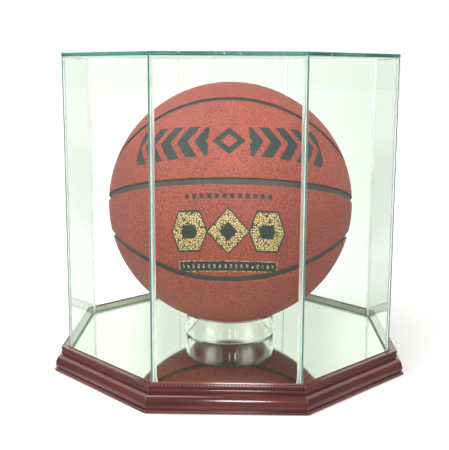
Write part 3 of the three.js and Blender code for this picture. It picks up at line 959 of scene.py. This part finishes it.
def moulding_profile(look, foot_edge, bottom, top, rebate_wall, inner_wall):
    """The moulding's section as points of distance from the middle and height."""
    lip_edge = foot_edge - look.foot_stand
    ovolo_edge = lip_edge + look.ovolo_stand
    quirk_face = ovolo_edge - look.return_depth
    foot_top = bottom + look.foot_band
    ovolo_bottom = foot_top + look.quirk_rise + look.return_height
    ovolo_top = ovolo_bottom + look.ovolo_height
    neck = lip_edge - look.step_in
    bead_bottom = ovolo_top + look.step_rise
    bead_top = bead_bottom + look.bead_height
    groove_face = lip_edge - look.groove_depth
    lip_bottom = bead_top + look.groove_height
    lip_centre = lip_edge - look.lip_round
    foot_centre = foot_edge - look.foot_round
    bead_centre = (neck, (bead_bottom + bead_top) / 2)
    bead_radii = (look.bead_stand, look.bead_height / 2)
    rim_end = lip_edge - lean_in(look.rim_height, look.facet_lean) - look.rim_width
    fillet = rebate_wall + look.inner_round + look.fillet_width
    return [
        (inner_wall, bottom),
        (foot_edge, bottom),
        *quarter((foot_centre, foot_top - look.foot_round), look.foot_round, 0, 5),
        (quirk_face, foot_top),
        *arc((quirk_face, ovolo_bottom), (look.return_depth, look.return_height), -90, 0, 6)[:-1],
        *arc((lip_edge, ovolo_bottom), (look.ovolo_stand, look.ovolo_height), 0, 90, 14),
        (neck, ovolo_top),
        *flat_arc(bead_centre, bead_radii, look.bead_fullness, 14),
        (groove_face, bead_top),
        (groove_face, lip_bottom),
        *quarter((lip_centre, lip_bottom + look.lip_round), look.lip_round, -90, 5),
        *leaning(look, lip_edge, top, look.rim_height),
        (rim_end, top),
        (rim_end - look.ledge_drop, top - look.ledge_drop),
        *leaning(look, fillet + lean_in(look.ledge_drop, look.facet_lean), top, look.ledge_drop),
        *quarter((rebate_wall + look.inner_round, top - look.inner_round), look.inner_round, 90, 4),
        (rebate_wall, top - look.rebate_depth),
        (inner_wall, top - look.rebate_depth),
    ]


def moulding_length(look):
    """The front length: a drawn section, extruded, sawn to its mitres and slotted for the nails."""
    low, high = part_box("moulding_front")
    rebate_wall = -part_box("base_board")[0].y + look.rebate_gap
    profile = moulding_profile(look, -low.y, low.z, high.z, rebate_wall, -high.y)
    start = low.x - OVERRUN
    piece = outline_face("timber_front", [(start, -apothem, height) for apothem, height in profile])
    with editing(piece, whole=True):
        run = {"value": (high.x - low.x + 2 * OVERRUN, 0, 0)}
        bpy.ops.mesh.extrude_region_move(TRANSFORM_OT_translate=run)
    outward(piece)
    for end in (-1, 1):
        saw_mitre(look, piece, end)
        for leg in (-1, 1):
            cut(piece, nail_slot(look, end, leg))
    return settle(piece, 32)


def saw_mitre(look, piece, end):
    """Saws one end of the front length to its mitre and wears the edge in view."""
    outwards = Vector((end * math.cos(SIDE_TURN / 2), math.sin(SIDE_TURN / 2), 0))
    face = outwards * -look.mitre_gap
    glass_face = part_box("pane_front")[0].y
    with editing(piece, "EDGE", whole=True):
        bpy.ops.mesh.bisect(plane_co=face, plane_no=outwards, use_fill=True, clear_outer=True)
        shape = bmesh.from_edit_mesh(piece.data)
        choose(piece, shape.edges, lambda e: all(
            abs((v.co - face).dot(outwards)) < TOUCH and v.co.y < glass_face for v in e.verts
        ))
        bpy.ops.mesh.bevel(offset=look.arris, segments=1, affect="EDGES")


def nail_slot(look, end, leg):
    """A cutter for one leg of the V-nail at one end of the front length."""
    low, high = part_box("v_nail_front")
    points = [vertex.co for vertex in frame["nodes"]["v_nail_front"].data.vertices]
    tip = max(points, key=lambda co: co.length_squared)
    away = math.atan2(tip.y, tip.x) + leg * look.slot_turn
    bottom = low.z - OVERRUN
    top = high.z + look.slot_clearance
    middle = Vector((math.cos(away), math.sin(away), 0)) * (look.slot_reach / 2 - look.slot_back)
    middle = middle + Vector((tip.x, tip.y, (bottom + top) / 2))
    cutter = settle(added(
        bpy.ops.mesh.primitive_cube_add, "nail_slot",
        size=1, location=middle, rotation=(0, 0, away),
        scale=(look.slot_reach, look.slot_width, top - bottom),
    ))
    if end < 0:
        cutter.data.transform(Matrix.Scale(-1, 4, (1, 0, 0)))
        cutter.data.flip_normals()
    return cutter


def around_case(first, prefix):
    """The piece at the front and its seven copies, each with the name of its side."""
    for i, side in enumerate(SIDES):
        turn = Matrix.Rotation(i * SIDE_TURN, 4, "Z")
        yield side, first if i == 0 else copied(first, f"{prefix}_{side}", turn)


def upright_pane(look):
    """The front pane: a block of glass with ground arrises."""
    low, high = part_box("pane_front")
    block = {"size": 1, "location": (low + high) / 2, "scale": high - low}
    piece = settle(added(bpy.ops.mesh.primitive_cube_add, "glass_front", **block))
    with editing(piece, "EDGE", whole=True):
        bpy.ops.mesh.bevel(offset=look.arris, segments=1, affect="EDGES")
    return piece


# Shares of the height of a corner bead's foot, each with how much thicker than above the bead is there
SWELL_SHARES = ((0, 1.3), (0.08, 1.45), (0.25, 1.4), (0.5, 1.2), (0.8, 1.05), (1, 1))
BOW_STEPS = 8


def bead_section(look):
    """A corner bead's section, as distances across the corner and in from its root."""
    deep = look.seam_leg * math.sin(SIDE_TURN / 2)
    wide = look.seam_leg * math.cos(SIDE_TURN / 2)
    shares = [1 - 2 * i / BOW_STEPS for i in range(BOW_STEPS + 1)]
    return [(0, 0)] + [(wide * share, deep + look.seam_bow * (1 - share ** 4)) for share in shares]


def corner_bead(look):
    """The bead in the corner on the front pane's right, thick at its foot."""
    low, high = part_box("corner_seam_front")
    inner = -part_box("pane_front")[1].y
    inwards = Vector((-math.sin(SIDE_TURN / 2), math.cos(SIDE_TURN / 2), 0))
    sideways = Vector((inwards.y, -inwards.x, 0))
    root = Vector((inner * math.tan(SIDE_TURN / 2), -inner, 0))
    root = root + inwards * look.seam_root * CORNER_STRETCH
    heights = [(low.z + look.seam_foot * share, swell) for share, swell in SWELL_SHARES] + [(high.z, 1)]
    foot = root + Vector((0, 0, low.z))
    piece = outline_face("bead_front", [
        foot + (sideways * across + inwards * depth) * heights[0][1] for across, depth in bead_section(look)
    ])
    with editing(piece, whole=True):
        for (below, thin), (above, swell) in zip(heights, heights[1:]):
            bpy.ops.mesh.extrude_region_move(TRANSFORM_OT_translate={"value": (0, 0, above - below)})
            centre = (root.x, root.y, above)
            bpy.ops.transform.resize(value=(swell / thin, swell / thin, 1), center_override=centre)
    outward(piece)
    return settle(piece, 50)


def spun(name, points, turn, steps, start=0.0):
    """A section of points of radius and height, spun about the upright axis."""
    drawn = [(r * math.cos(start), r * math.sin(start), z) for r, z in points]
    piece = outline_face(name, drawn)
    with editing(piece, whole=True):
        bpy.ops.mesh.spin(steps=steps, angle=turn, center=(0, 0, 0), axis=(0, 0, 1))
    outward(piece)
    return piece


def top_bead(look):
    """The fillet between the upright panes and the top pane."""
    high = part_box("top_seam")[1]
    leg = look.top_seam_leg
    section = [(high.x, high.z), *arc((high.x - leg, high.z - leg), (leg, leg), 90, 0, 9)]
    stretched = [(radius * CORNER_STRETCH, height) for radius, height in section]
    return settle(spun("bead_top", stretched, math.tau, len(SIDES), SIDE_TURN / 2), 40)


def ring_strip(look):
    """The acrylic strip, bent round and butted at the front."""
    low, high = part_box("ring_stand")
    outer = high.x
    inner = outer - look.ring_wall
    edge = look.ring_edge
    section = [
        *quarter((outer - edge, low.z + edge), edge, -90, 3),
        *quarter((outer - edge, high.z - edge), edge, 0, 3),
        *quarter((inner + edge, high.z - edge), edge, 90, 3),
        *quarter((inner + edge, low.z + edge), edge, 180, 3),
    ]
    gap = look.ring_gap / outer
    return settle(spun("acrylic_ring", section, math.tau - gap, RING_SIDES, gap / 2 - math.pi / 2), 50)


def loop_latitude(look, heading):
    """Latitude of the looped seam, which swings twice round the ball."""
    swing = look.loop_swing * math.cos(2 * heading)
    return look.loop_mean + swing - look.loop_flat * math.cos(4 * heading)


def loop_stand_off(look, heading):
    """How far a cover's edge stands off the looped seam, along the latitude."""
    rise = -2 * look.loop_swing * math.sin(2 * heading) + 4 * look.loop_flat * math.sin(4 * heading)
    slope = rise / math.cos(loop_latitude(look, heading))
    return look.loop_channel / 2 / look.radius * math.hypot(1, slope)


def band_ruling(look, share):
    """A meridian of the cover between the middle seam and a loop, as its two ends."""
    half = look.channel / 2 / look.radius
    heading = share * (math.pi / 2 - half)
    return (heading, half), (heading, loop_latitude(look, heading) - loop_stand_off(look, heading))


def crown_ruling(look, share):
    """A line from the loop in to the straight seam over the crown, seen from above it."""
    half = look.channel / 2 / look.radius

    def polar(heading):
        return math.pi / 2 - loop_latitude(look, heading) - loop_stand_off(look, heading)

    widest = math.acos(half / polar(math.pi / 2))
    heading = share * widest
    loop = (math.sin(heading) * polar(heading), math.cos(heading) * polar(heading))
    reach = polar(widest) * math.sin(heading)
    spread = abs(reach) / math.sin(abs(reach)) if abs(reach) > half else 1
    return loop, (reach, math.sin(half) * spread)


def from_band(place):
    """Heading and latitude, which a place on the band's map already is."""
    return place


def from_crown(place):
    """Heading and latitude of a place on the flat map round the crown."""
    return math.atan2(place[0], place[1]), math.pi / 2 - math.hypot(*place)


# How far in from a cover's edge its grid has rows, as shares of the edge's radius
ROLL_SHARES = (0, 0.09, 0.3, 0.65, 1.15)
NO_LENGTH = 1e-9


def stations(length, offsets, inner):
    """Shares along a line, close together over the rolled edge at both ends."""
    count = 2 * len(offsets) + inner - 1
    if length < NO_LENGTH:
        return [i / (count - 1) for i in range(count)]
    squeeze = min(1, length / (3 * offsets[-1]))
    near = [offset * squeeze / length for offset in offsets]
    middle = [near[-1] + (1 - 2 * near[-1]) * i / inner for i in range(1, inner)]
    return near + middle + [1 - share for share in reversed(near)]


def rolled_drop(look, distance):
    """How far the leather has rolled down at a distance from its edge."""
    left = max(look.edge_round - distance, 0)
    return look.edge_round - math.sqrt(look.edge_round ** 2 - left ** 2)


def on_ball(radius, heading, latitude):
    """A point in the ball's own frame."""
    level = radius * math.cos(latitude)
    return level * math.sin(heading), -level * math.cos(heading), radius * math.sin(latitude)


def cover_columns(look, ruling, to_ball, rolled_ends):
    """The points of a cover's grid, column by column, rolled down at the cover's edges."""
    offsets = [look.edge_round * share for share in ROLL_SHARES]
    span = math.pi * look.radius
    columns = []
    for station in stations(span, offsets, look.columns):
        share = 2 * station - 1
        first, last = ruling(look, share)
        length = math.hypot(last[0] - first[0], last[1] - first[1]) * look.radius
        end = (1 - abs(share)) / 2 * span
        column = []
        for place in stations(length, offsets, look.rows):
            heading, latitude = to_ball([a + (b - a) * place for a, b in zip(first, last)])
            near = min(place * length, (1 - place) * length)
            if rolled_ends:
                near = min(near, end * math.cos(latitude))
            column.append(on_ball(look.radius - rolled_drop(look, near), heading, latitude))
        columns.append(column)
    return columns


def leather_cover(look, name, ruling, to_ball, rolled_ends):
    """A cover in the ball's own frame: a grid bent over the ball, rolled at its edges and thickened."""
    columns = cover_columns(look, ruling, to_ball, rolled_ends)
    across, up = len(columns) - 1, len(columns[0]) - 1
    piece = added(bpy.ops.mesh.primitive_grid_add, name, x_subdivisions=across, y_subdivisions=up, size=1)
    for vertex in piece.data.vertices:
        column = columns[round((vertex.co.x + 0.5) * across)]
        vertex.co = column[round((vertex.co.y + 0.5) * up)]
    with editing(piece, "VERT", whole=True):
        bpy.ops.mesh.extrude_region_move()
        shape = bmesh.from_edit_mesh(piece.data)
        for vertex in shape.verts:
            if not vertex.select:
                vertex.co = vertex.co.normalized() * (look.radius - look.cover_thick)
        bmesh.update_edit_mesh(piece.data)
    outward(piece)
    return settle(piece, 55)


def valve_direction(look):
    return Vector((0, math.cos(look.valve_latitude), math.sin(look.valve_latitude)))


def valve_turn(look):
    """The turn that lays an upright piece along the valve, in the ball's own frame."""
    return Vector((0, 0, 1)).rotation_difference(valve_direction(look))


def onto_ball(look):
    """From the ball's own frame to its place in the case."""
    return Matrix.Translation(BALL_CENTRE) @ Matrix.Rotation(-look.tilt, 4, "X")


def onto_valve(look):
    """From upright over the ball's middle to the valve's place in the case."""
    return onto_ball(look) @ valve_turn(look).to_matrix().to_4x4()


def carcass_shell(look):
    """The rubber carcass, open at the valve."""
    radius = look.radius - look.cover_thick - look.seat_gap
    ball = {"segments": CARCASS_SIDES, "ring_count": CARCASS_RINGS, "radius": radius}
    piece = added(bpy.ops.mesh.primitive_uv_sphere_add, "rubber_carcass", **ball)
    mouth = look.valve_radius + look.valve_clearance
    with editing(piece, whole=True):
        face = (0, 0, math.sqrt(radius ** 2 - mouth ** 2))
        bpy.ops.mesh.bisect(plane_co=face, plane_no=(0, 0, 1), clear_outer=True)
    applied(piece, "SOLIDIFY", thickness=look.wall, offset=-1)
    piece.data.transform(onto_valve(look))
    return settle(piece, 50)


# A spun section that closes in the middle stops this far short of the axis
AXIS_GAP = 0.00002


def valve_plug(look):
    """The valve's rubber plug with its needle hole."""
    top = look.radius - look.valve_sink
    edge = look.valve_edge
    hole = look.needle_radius
    section = [
        (AXIS_GAP, top - look.valve_length),
        (look.valve_radius, top - look.valve_length),
        *quarter((look.valve_radius - edge, top - edge), edge, 0, 4),
        *quarter((hole + edge, top - edge), edge, 90, 4),
        (hole, top - look.needle_depth),
        (AXIS_GAP, top - look.needle_depth),
    ]
    piece = spun("valve_plug", section, math.tau, ROUND_SIDES)
    piece.data.transform(onto_valve(look))
    return settle(piece, 40)


def valve_bore(look):
    """A cutter for the valve's hole, in the ball's own frame."""
    return settle(added(
        bpy.ops.mesh.primitive_cylinder_add, "valve_bore",
        vertices=ROUND_SIDES, radius=look.valve_radius + look.valve_clearance,
        depth=6 * look.cover_thick, location=valve_direction(look) * look.radius,
        rotation=valve_turn(look).to_euler(),
    ))


# Floor and surround

WHITE = (1, 1, 1, 1)
BLACK = (0, 0, 0, 1)

# Between which distances from the case the floor's light changes, for each way of seeing it
PLAIN_FLOOR = (0.35, 1.4)
CLEAR_FLOOR = (0.3, 2.5)
GRAZED_FLOOR = (0.5, 3)

# Between which parts of a direction, to the right, back and up, the light changes
BACK_TURN = (0.15, 0.6)
BACKDROP = (-0.4, 0.4)
GREEN_SIDE = (0, 0.3)
MIRRORED_SIDE = (0.09, 0.14)
GRAZE_RISE = (0.1, 0.16)
GREEN_RISE = 0.13
GREEN_BLUR = 0.06
WALL_START = 0.3
WALL_END = 0.9
WALL_BLUR = 0.06
WALL_RISE = 0.15
RISE_BLUR = 0.1


def backdrop(finish, look, across):
    """Brightness of the backdrop through glass, from its left to its right."""
    return finish.spread(across, *BACKDROP, look.back_left, look.back_right)


def pane_green(finish, look, across, through, grazing):
    """The green cast that the backdrop takes, through the panes on its right and at a graze all over."""
    share = (through * finish.spread(across, *GREEN_SIDE)).larger(grazing)
    return finish.mix(share, WHITE, look.back_green[:])


def pale_floor(look):
    """A floor that is pale in view, as bright as the backdrop through glass, and dim in gloss."""
    finish = new_finish("pale_floor")
    seen, mirrored, through, diffuse, gloss = finish.rays(
        "Is Camera Ray", "Is Glossy Ray", "Is Transmission Ray", "Diffuse Depth", "Glossy Depth"
    )
    shown = seen.larger(mirrored).larger(through) * diffuse.none()
    away = finish.length(finish.place())
    across, back = (part / away for part in finish.split(finish.place())[:2])
    dim = gloss.some() * finish.spread(away, look.gleam_near, look.gleam_far, 0, 1 - look.gleam)
    dim = dim * finish.spread(back, *BACK_TURN, 1, 0)
    grazing = gloss.some() * finish.spread(back, *BACK_TURN)
    clear = through.larger(grazing)
    graze = finish.spread(away, *GRAZED_FLOOR, look.graze_low, look.graze_high)
    level = finish.spread(grazing, 0, 1, backdrop(finish, look, across), graze)
    glow = (level - look.floor_lit) / look.floor_lift
    glow = glow * finish.spread(away, *CLEAR_FLOOR, look.floor_glass, 1)
    plain = finish.spread(away, *PLAIN_FLOOR, look.floor_near, 1)
    share = (1 - clear) * plain + clear * glow
    lift = finish.tinted(pane_green(finish, look, across, through, grazing), share)
    lift = finish.mix(shown, BLACK, lift)
    return finish.made(
        base_color=finish.mix(dim, look.floor[:], BLACK),
        roughness=0.9,
        specular_ior_level=0.0,
        emission_color=finish.mix(dim, lift, BLACK),
        emission_strength=look.floor_lift,
    )


def white_surround(look):
    """A pale world with two brighter walls beside the camera, that lights the object evenly."""
    world = bpy.data.worlds.new("white_surround")
    world.use_nodes = True
    finish = Finish(world.node_tree)
    through, gloss, diffuse = finish.rays("Is Transmission Ray", "Glossy Depth", "Diffuse Depth")
    across, depth, rise = finish.split(finish.place())
    aside = abs(across)
    behind = backdrop(finish, look, across)
    raised = finish.spread(aside, *MIRRORED_SIDE, look.back_middle, behind * look.mirror_gain)
    mirrored = finish.spread(rise, *GRAZE_RISE, look.graze_high, raised)
    walls = aside.above(WALL_START, WALL_BLUR) * aside.below(WALL_END, WALL_BLUR)
    walls = walls * rise.above(WALL_RISE, RISE_BLUR)
    front = walls * (look.front_sides - look.front_level) + look.front_level
    surround = finish.spread(depth, *BACK_TURN, front, mirrored)
    straight = gloss.none()
    shown = straight * (through * (behind - 1) + 1) + (1 - straight) * surround
    lit = diffuse.some()
    strength = (1 - lit) * shown + lit * look.ambient
    grazing = (1 - straight) * rise.below(GREEN_RISE, GREEN_BLUR)
    colour = pane_green(finish, look, across, through, grazing)
    light = finish.node("ShaderNodeBackground", None, {"Color": colour, "Strength": strength})
    finish.node("ShaderNodeOutputWorld", None, {"Surface": light})
    return world


# Soft lights: their name, place and size, and the setting that has their power
LAMPS = (
    ("front_light", (0.01, -1.4, 0.56), (0.15, 0.34), "front_power"),
    ("strip_light", (0.37, -1.35, 0.5), (0.07, 0.3), "strip_power"),
    ("high_soft_box", (-0.6, -0.5, 1.5), (1.2, 1.2), "sky_power"),
    ("side_soft_box", (-1.15, -0.95, 0.75), (0.8, 0.9), "left_power"),
    ("side_soft_box", (1.15, -0.95, 0.75), (0.8, 0.9), "right_power"),
)
AIM = Vector((0, 0, 0.1))
SENSOR_WIDTH = 36
NEAR_CLIP = 0.01


def soft_light(name, place, size, power):
    """An oval soft light that faces the middle of the case."""
    rotation = (AIM - Vector(place)).to_track_quat("-Z", "Y").to_euler()
    bpy.ops.object.light_add(type="AREA", location=place, rotation=rotation)
    lamp = bpy.context.object
    lamp.name = lamp.data.name = name
    lamp.data.shape = "ELLIPSE"
    lamp.data.size, lamp.data.size_y = size
    lamp.data.energy = power


def product_camera(look):
    bpy.ops.object.camera_add(location=look.camera_place)
    camera = bpy.context.object
    camera.name = "product_camera"
    turn = Matrix.Rotation(look.camera_yaw, 4, "Z") @ Matrix.Rotation(look.camera_pitch, 4, "X")
    turn = turn @ Matrix.Rotation(look.camera_roll, 4, "Y") @ Matrix.Rotation(math.pi / 2, 4, "X")
    camera.rotation_euler = turn.to_euler()
    camera.data.lens = look.camera_lens
    camera.data.sensor_width = SENSOR_WIDTH
    camera.data.shift_y = look.camera_shift
    camera.data.clip_start = NEAR_CLIP
    return camera


# Operators

class CASE_OT_stage(bpy.types.Operator):
    """Lay the pale floor, hang the soft lights and stand the camera"""

    bl_idname = "case.stage"
    bl_label = "Stage"

    def execute(self, context):
        look = context.scene.case_stage
        middle = look.floor_size / 2 - look.floor_front
        plane = {"size": look.floor_size, "location": (0, middle, 0)}
        floor = settle(added(bpy.ops.mesh.primitive_plane_add, "floor", **plane))
        floor.data.materials.append(pale_floor(look))
        floor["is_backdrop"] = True
        context.scene.world = white_surround(look)
        for name, place, size, power in LAMPS:
            soft_light(name, place, size, getattr(look, power))
        context.scene.camera = product_camera(look)
        context.scene.view_settings.view_transform = "Standard"
        return {"FINISHED"}


# A face looks along an axis when its normal's part on it is over ALONG, and hardly does under BARELY
ALONG = 0.9
BARELY = 0.3


class CASE_OT_moulding(bpy.types.Operator):
    """Shape the eight mitred lengths of the base moulding"""

    bl_idname = "case.moulding"
    bl_label = "Base Moulding"

    def execute(self, context):
        look = context.scene.case_moulding
        first = moulding_length(look)
        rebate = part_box("base_board")[1].x + look.rebate_gap + look.inner_round / 2
        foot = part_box("moulding_front")[0].z + look.foot_band / 2

        def bare(face):
            """True under the moulding, in its mitres and in its rebate."""
            under = face.normal.z < -ALONG and face.center.z < foot
            mitred = abs(face.normal.x) > ALONG and face.normal.y > BARELY
            return under or mitred or -face.center.y < rebate

        mark_faces(first, bare, 1)
        self.mark_timber(first)
        materials = lacquered_wood(look), bare_timber(look)
        for side, piece in around_case(first, "timber"):
            dress(piece, "base", "lacquered_wood", "moulding_" + side, *materials)
        return {"FINISHED"}

    def mark_timber(self, piece):
        """Keeps the front length's coordinates, which its copies take along with their grain."""
        timber = piece.data.attributes.new("timber", "FLOAT_VECTOR", "POINT")
        for vertex, mark in zip(piece.data.vertices, timber.data):
            mark.vector = vertex.co


class CASE_OT_floor_panel(bpy.types.Operator):
    """Lay the hardboard and the mirror, and fit the nails and felt pads"""

    bl_idname = "case.floor_panel"
    bl_label = "Floor Panel"

    def execute(self, context):
        look = context.scene.case_fittings
        self.mirror(context.scene.case_glass)
        self.pads(look)
        finish_node("base_board", hardboard(look))
        steel = nail_steel(look)
        for side in SIDES:
            finish_node("v_nail_" + side, steel)
        return {"FINISHED"}

    def mirror(self, look):
        low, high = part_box("mirror")
        piece = octagon_plate("mirror_plate", low, high, look.arris, 1)
        mark_faces(piece, lambda f: abs(f.normal.z) < ALONG, 2)
        mark_faces(piece, lambda f: f.normal.z < -ALONG, 1)
        clear, edge = (bpy.data.materials[name] for name in ("clear_glass", "ground_edge"))
        dress(piece, "base", "silvered_glass", "mirror", clear, mirror_silver(look), edge)

    def pads(self, look):
        felt = pad_felt(look)
        for side in SIDES[1::2]:
            low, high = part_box("felt_pad_" + side)
            piece = settle(added(
                bpy.ops.mesh.primitive_cylinder_add, "felt_" + side,
                vertices=ROUND_SIDES, radius=(high.x - low.x) / 2, depth=high.z - low.z,
                location=(low + high) / 2,
            ))
            ease_rims(piece, look.pad_edge, 2)
            settle(piece, 40)
            dress(piece, "base", "pad_felt", "felt_pad_" + side, felt)


class CASE_OT_glass(bpy.types.Operator):
    """Cut the eight upright panes and the top pane"""

    bl_idname = "case.glass"
    bl_label = "Glass"

    def execute(self, context):
        look = context.scene.case_glass
        clear = clear_glass(look)
        materials = clear, pane_edge(look)
        first = upright_pane(look)
        mark_faces(first, lambda f: abs(f.normal.y) < ALONG, 1)
        for side, piece in around_case(first, "glass"):
            dress(piece, "cover", "float_glass", "pane_" + side, *materials)
        materials = clear, ground_edge(look)
        low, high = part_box("top_pane")
        top = octagon_plate("glass_top", low, high, look.top_arris, 2)
        mark_faces(top, lambda f: abs(f.normal.z) < BARELY, 1)
        dress(top, "cover", "float_glass", "top_pane", *materials)
        return {"FINISHED"}


class CASE_OT_silicone(bpy.types.Operator):
    """Run the clear beads in the corners and under the top pane"""

    bl_idname = "case.silicone"
    bl_label = "Silicone Beads"

    def execute(self, context):
        look = context.scene.case_glass
        milky = silicone(look, "milky_silicone", 0.8, 0.3)
        for side, piece in around_case(corner_bead(look), "bead"):
            dress(piece, "cover", "clear_silicone", "corner_seam_" + side, milky)
        clear = silicone(look, "clear_silicone", 1.0, 0.1)
        dress(top_bead(look), "cover", "clear_silicone", "top_seam", clear)
        return {"FINISHED"}


class CASE_OT_ring(bpy.types.Operator):
    """Bend the clear ring stand"""

    bl_idname = "case.ring"
    bl_label = "Ring Stand"

    def execute(self, context):
        look = context.scene.case_glass
        dress(ring_strip(look), "base", "clear_acrylic", "ring_stand", clear_acrylic(look))
        return {"FINISHED"}


class CASE_OT_ball(bpy.types.Operator):
    """Stitch the ball: its carcass, valve and eight leather covers"""

    bl_idname = "case.ball"
    bl_label = "Ball"

    def execute(self, context):
        look = context.scene.case_ball
        leather = pebbled_leather(look)
        rubber = channel_rubber(look)
        dress(carcass_shell(look), "ball", "channel_rubber", "ball_carcass", rubber)
        dress(valve_plug(look), "ball", "channel_rubber", "ball_valve", rubber)
        turns = {
            "upper_front": Matrix.Identity(4),
            "upper_back": Matrix.Rotation(math.pi, 4, "Z"),
            "lower_front": Matrix.Rotation(math.pi, 4, "Y"),
            "lower_back": Matrix.Rotation(math.pi, 4, "X"),
        }
        band = leather_cover(look, "leather_band", band_ruling, from_band, rolled_ends=True)
        crown = leather_cover(look, "leather_crown", crown_ruling, from_crown, rolled_ends=False)
        for place, turn in turns.items():
            cover = copied(band, "leather_" + place, turn)
            if place == "upper_back":
                cut(cover, valve_bore(look))
            cover.data.transform(onto_ball(look))
            dress(cover, "ball", "pebbled_leather", "ball_cover_" + place, leather)
            cap = copied(crown, "leather_crown_" + place, onto_ball(look) @ turn)
            dress(cap, "ball", "pebbled_leather", "ball_crown_" + place, leather)
        bpy.data.objects.remove(band)
        bpy.data.objects.remove(crown)
        return {"FINISHED"}


OPERATORS = (
    CASE_OT_stage,
    CASE_OT_moulding,
    CASE_OT_glass,
    CASE_OT_floor_panel,
    CASE_OT_silicone,
    CASE_OT_ring,
    CASE_OT_ball,
)
SETTINGS = {
    "case_stage": StageSettings,
    "case_moulding": MouldingSettings,
    "case_glass": GlassSettings,
    "case_fittings": FittingSettings,
    "case_ball": BallSettings,
}


class CASE_PT_panel(bpy.types.Panel):
    """The display case's building steps"""

    bl_idname = "CASE_PT_panel"
    bl_label = "Display Case"
    bl_space_type = "VIEW_3D"
    bl_region_type = "UI"
    bl_category = "Display Case"

    def draw(self, context):
        for step in OPERATORS:
            self.layout.operator(step.bl_idname)


def register():
    for settings in SETTINGS.values():
        bpy.utils.register_class(settings)
    for name, settings in SETTINGS.items():
        setattr(bpy.types.Scene, name, PointerProperty(type=settings))
    for step in (*OPERATORS, CASE_PT_panel):
        bpy.utils.register_class(step)


def unregister():
    for step in (CASE_PT_panel, *reversed(OPERATORS)):
        bpy.utils.unregister_class(step)
    for name in SETTINGS:
        delattr(bpy.types.Scene, name)
    for settings in SETTINGS.values():
        bpy.utils.unregister_class(settings)


def main():
    register()
    bpy.ops.case.stage()
    bpy.ops.case.moulding()
    bpy.ops.case.glass()
    bpy.ops.case.floor_panel()
    bpy.ops.case.silicone()
    bpy.ops.case.ring()
    bpy.ops.case.ball()
    boxes = {"cad": cad_box, "visual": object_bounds()}
    {name: [list(corner) for corner in box] for name, box in boxes.items()}


if __name__ == "__main__":
    main()
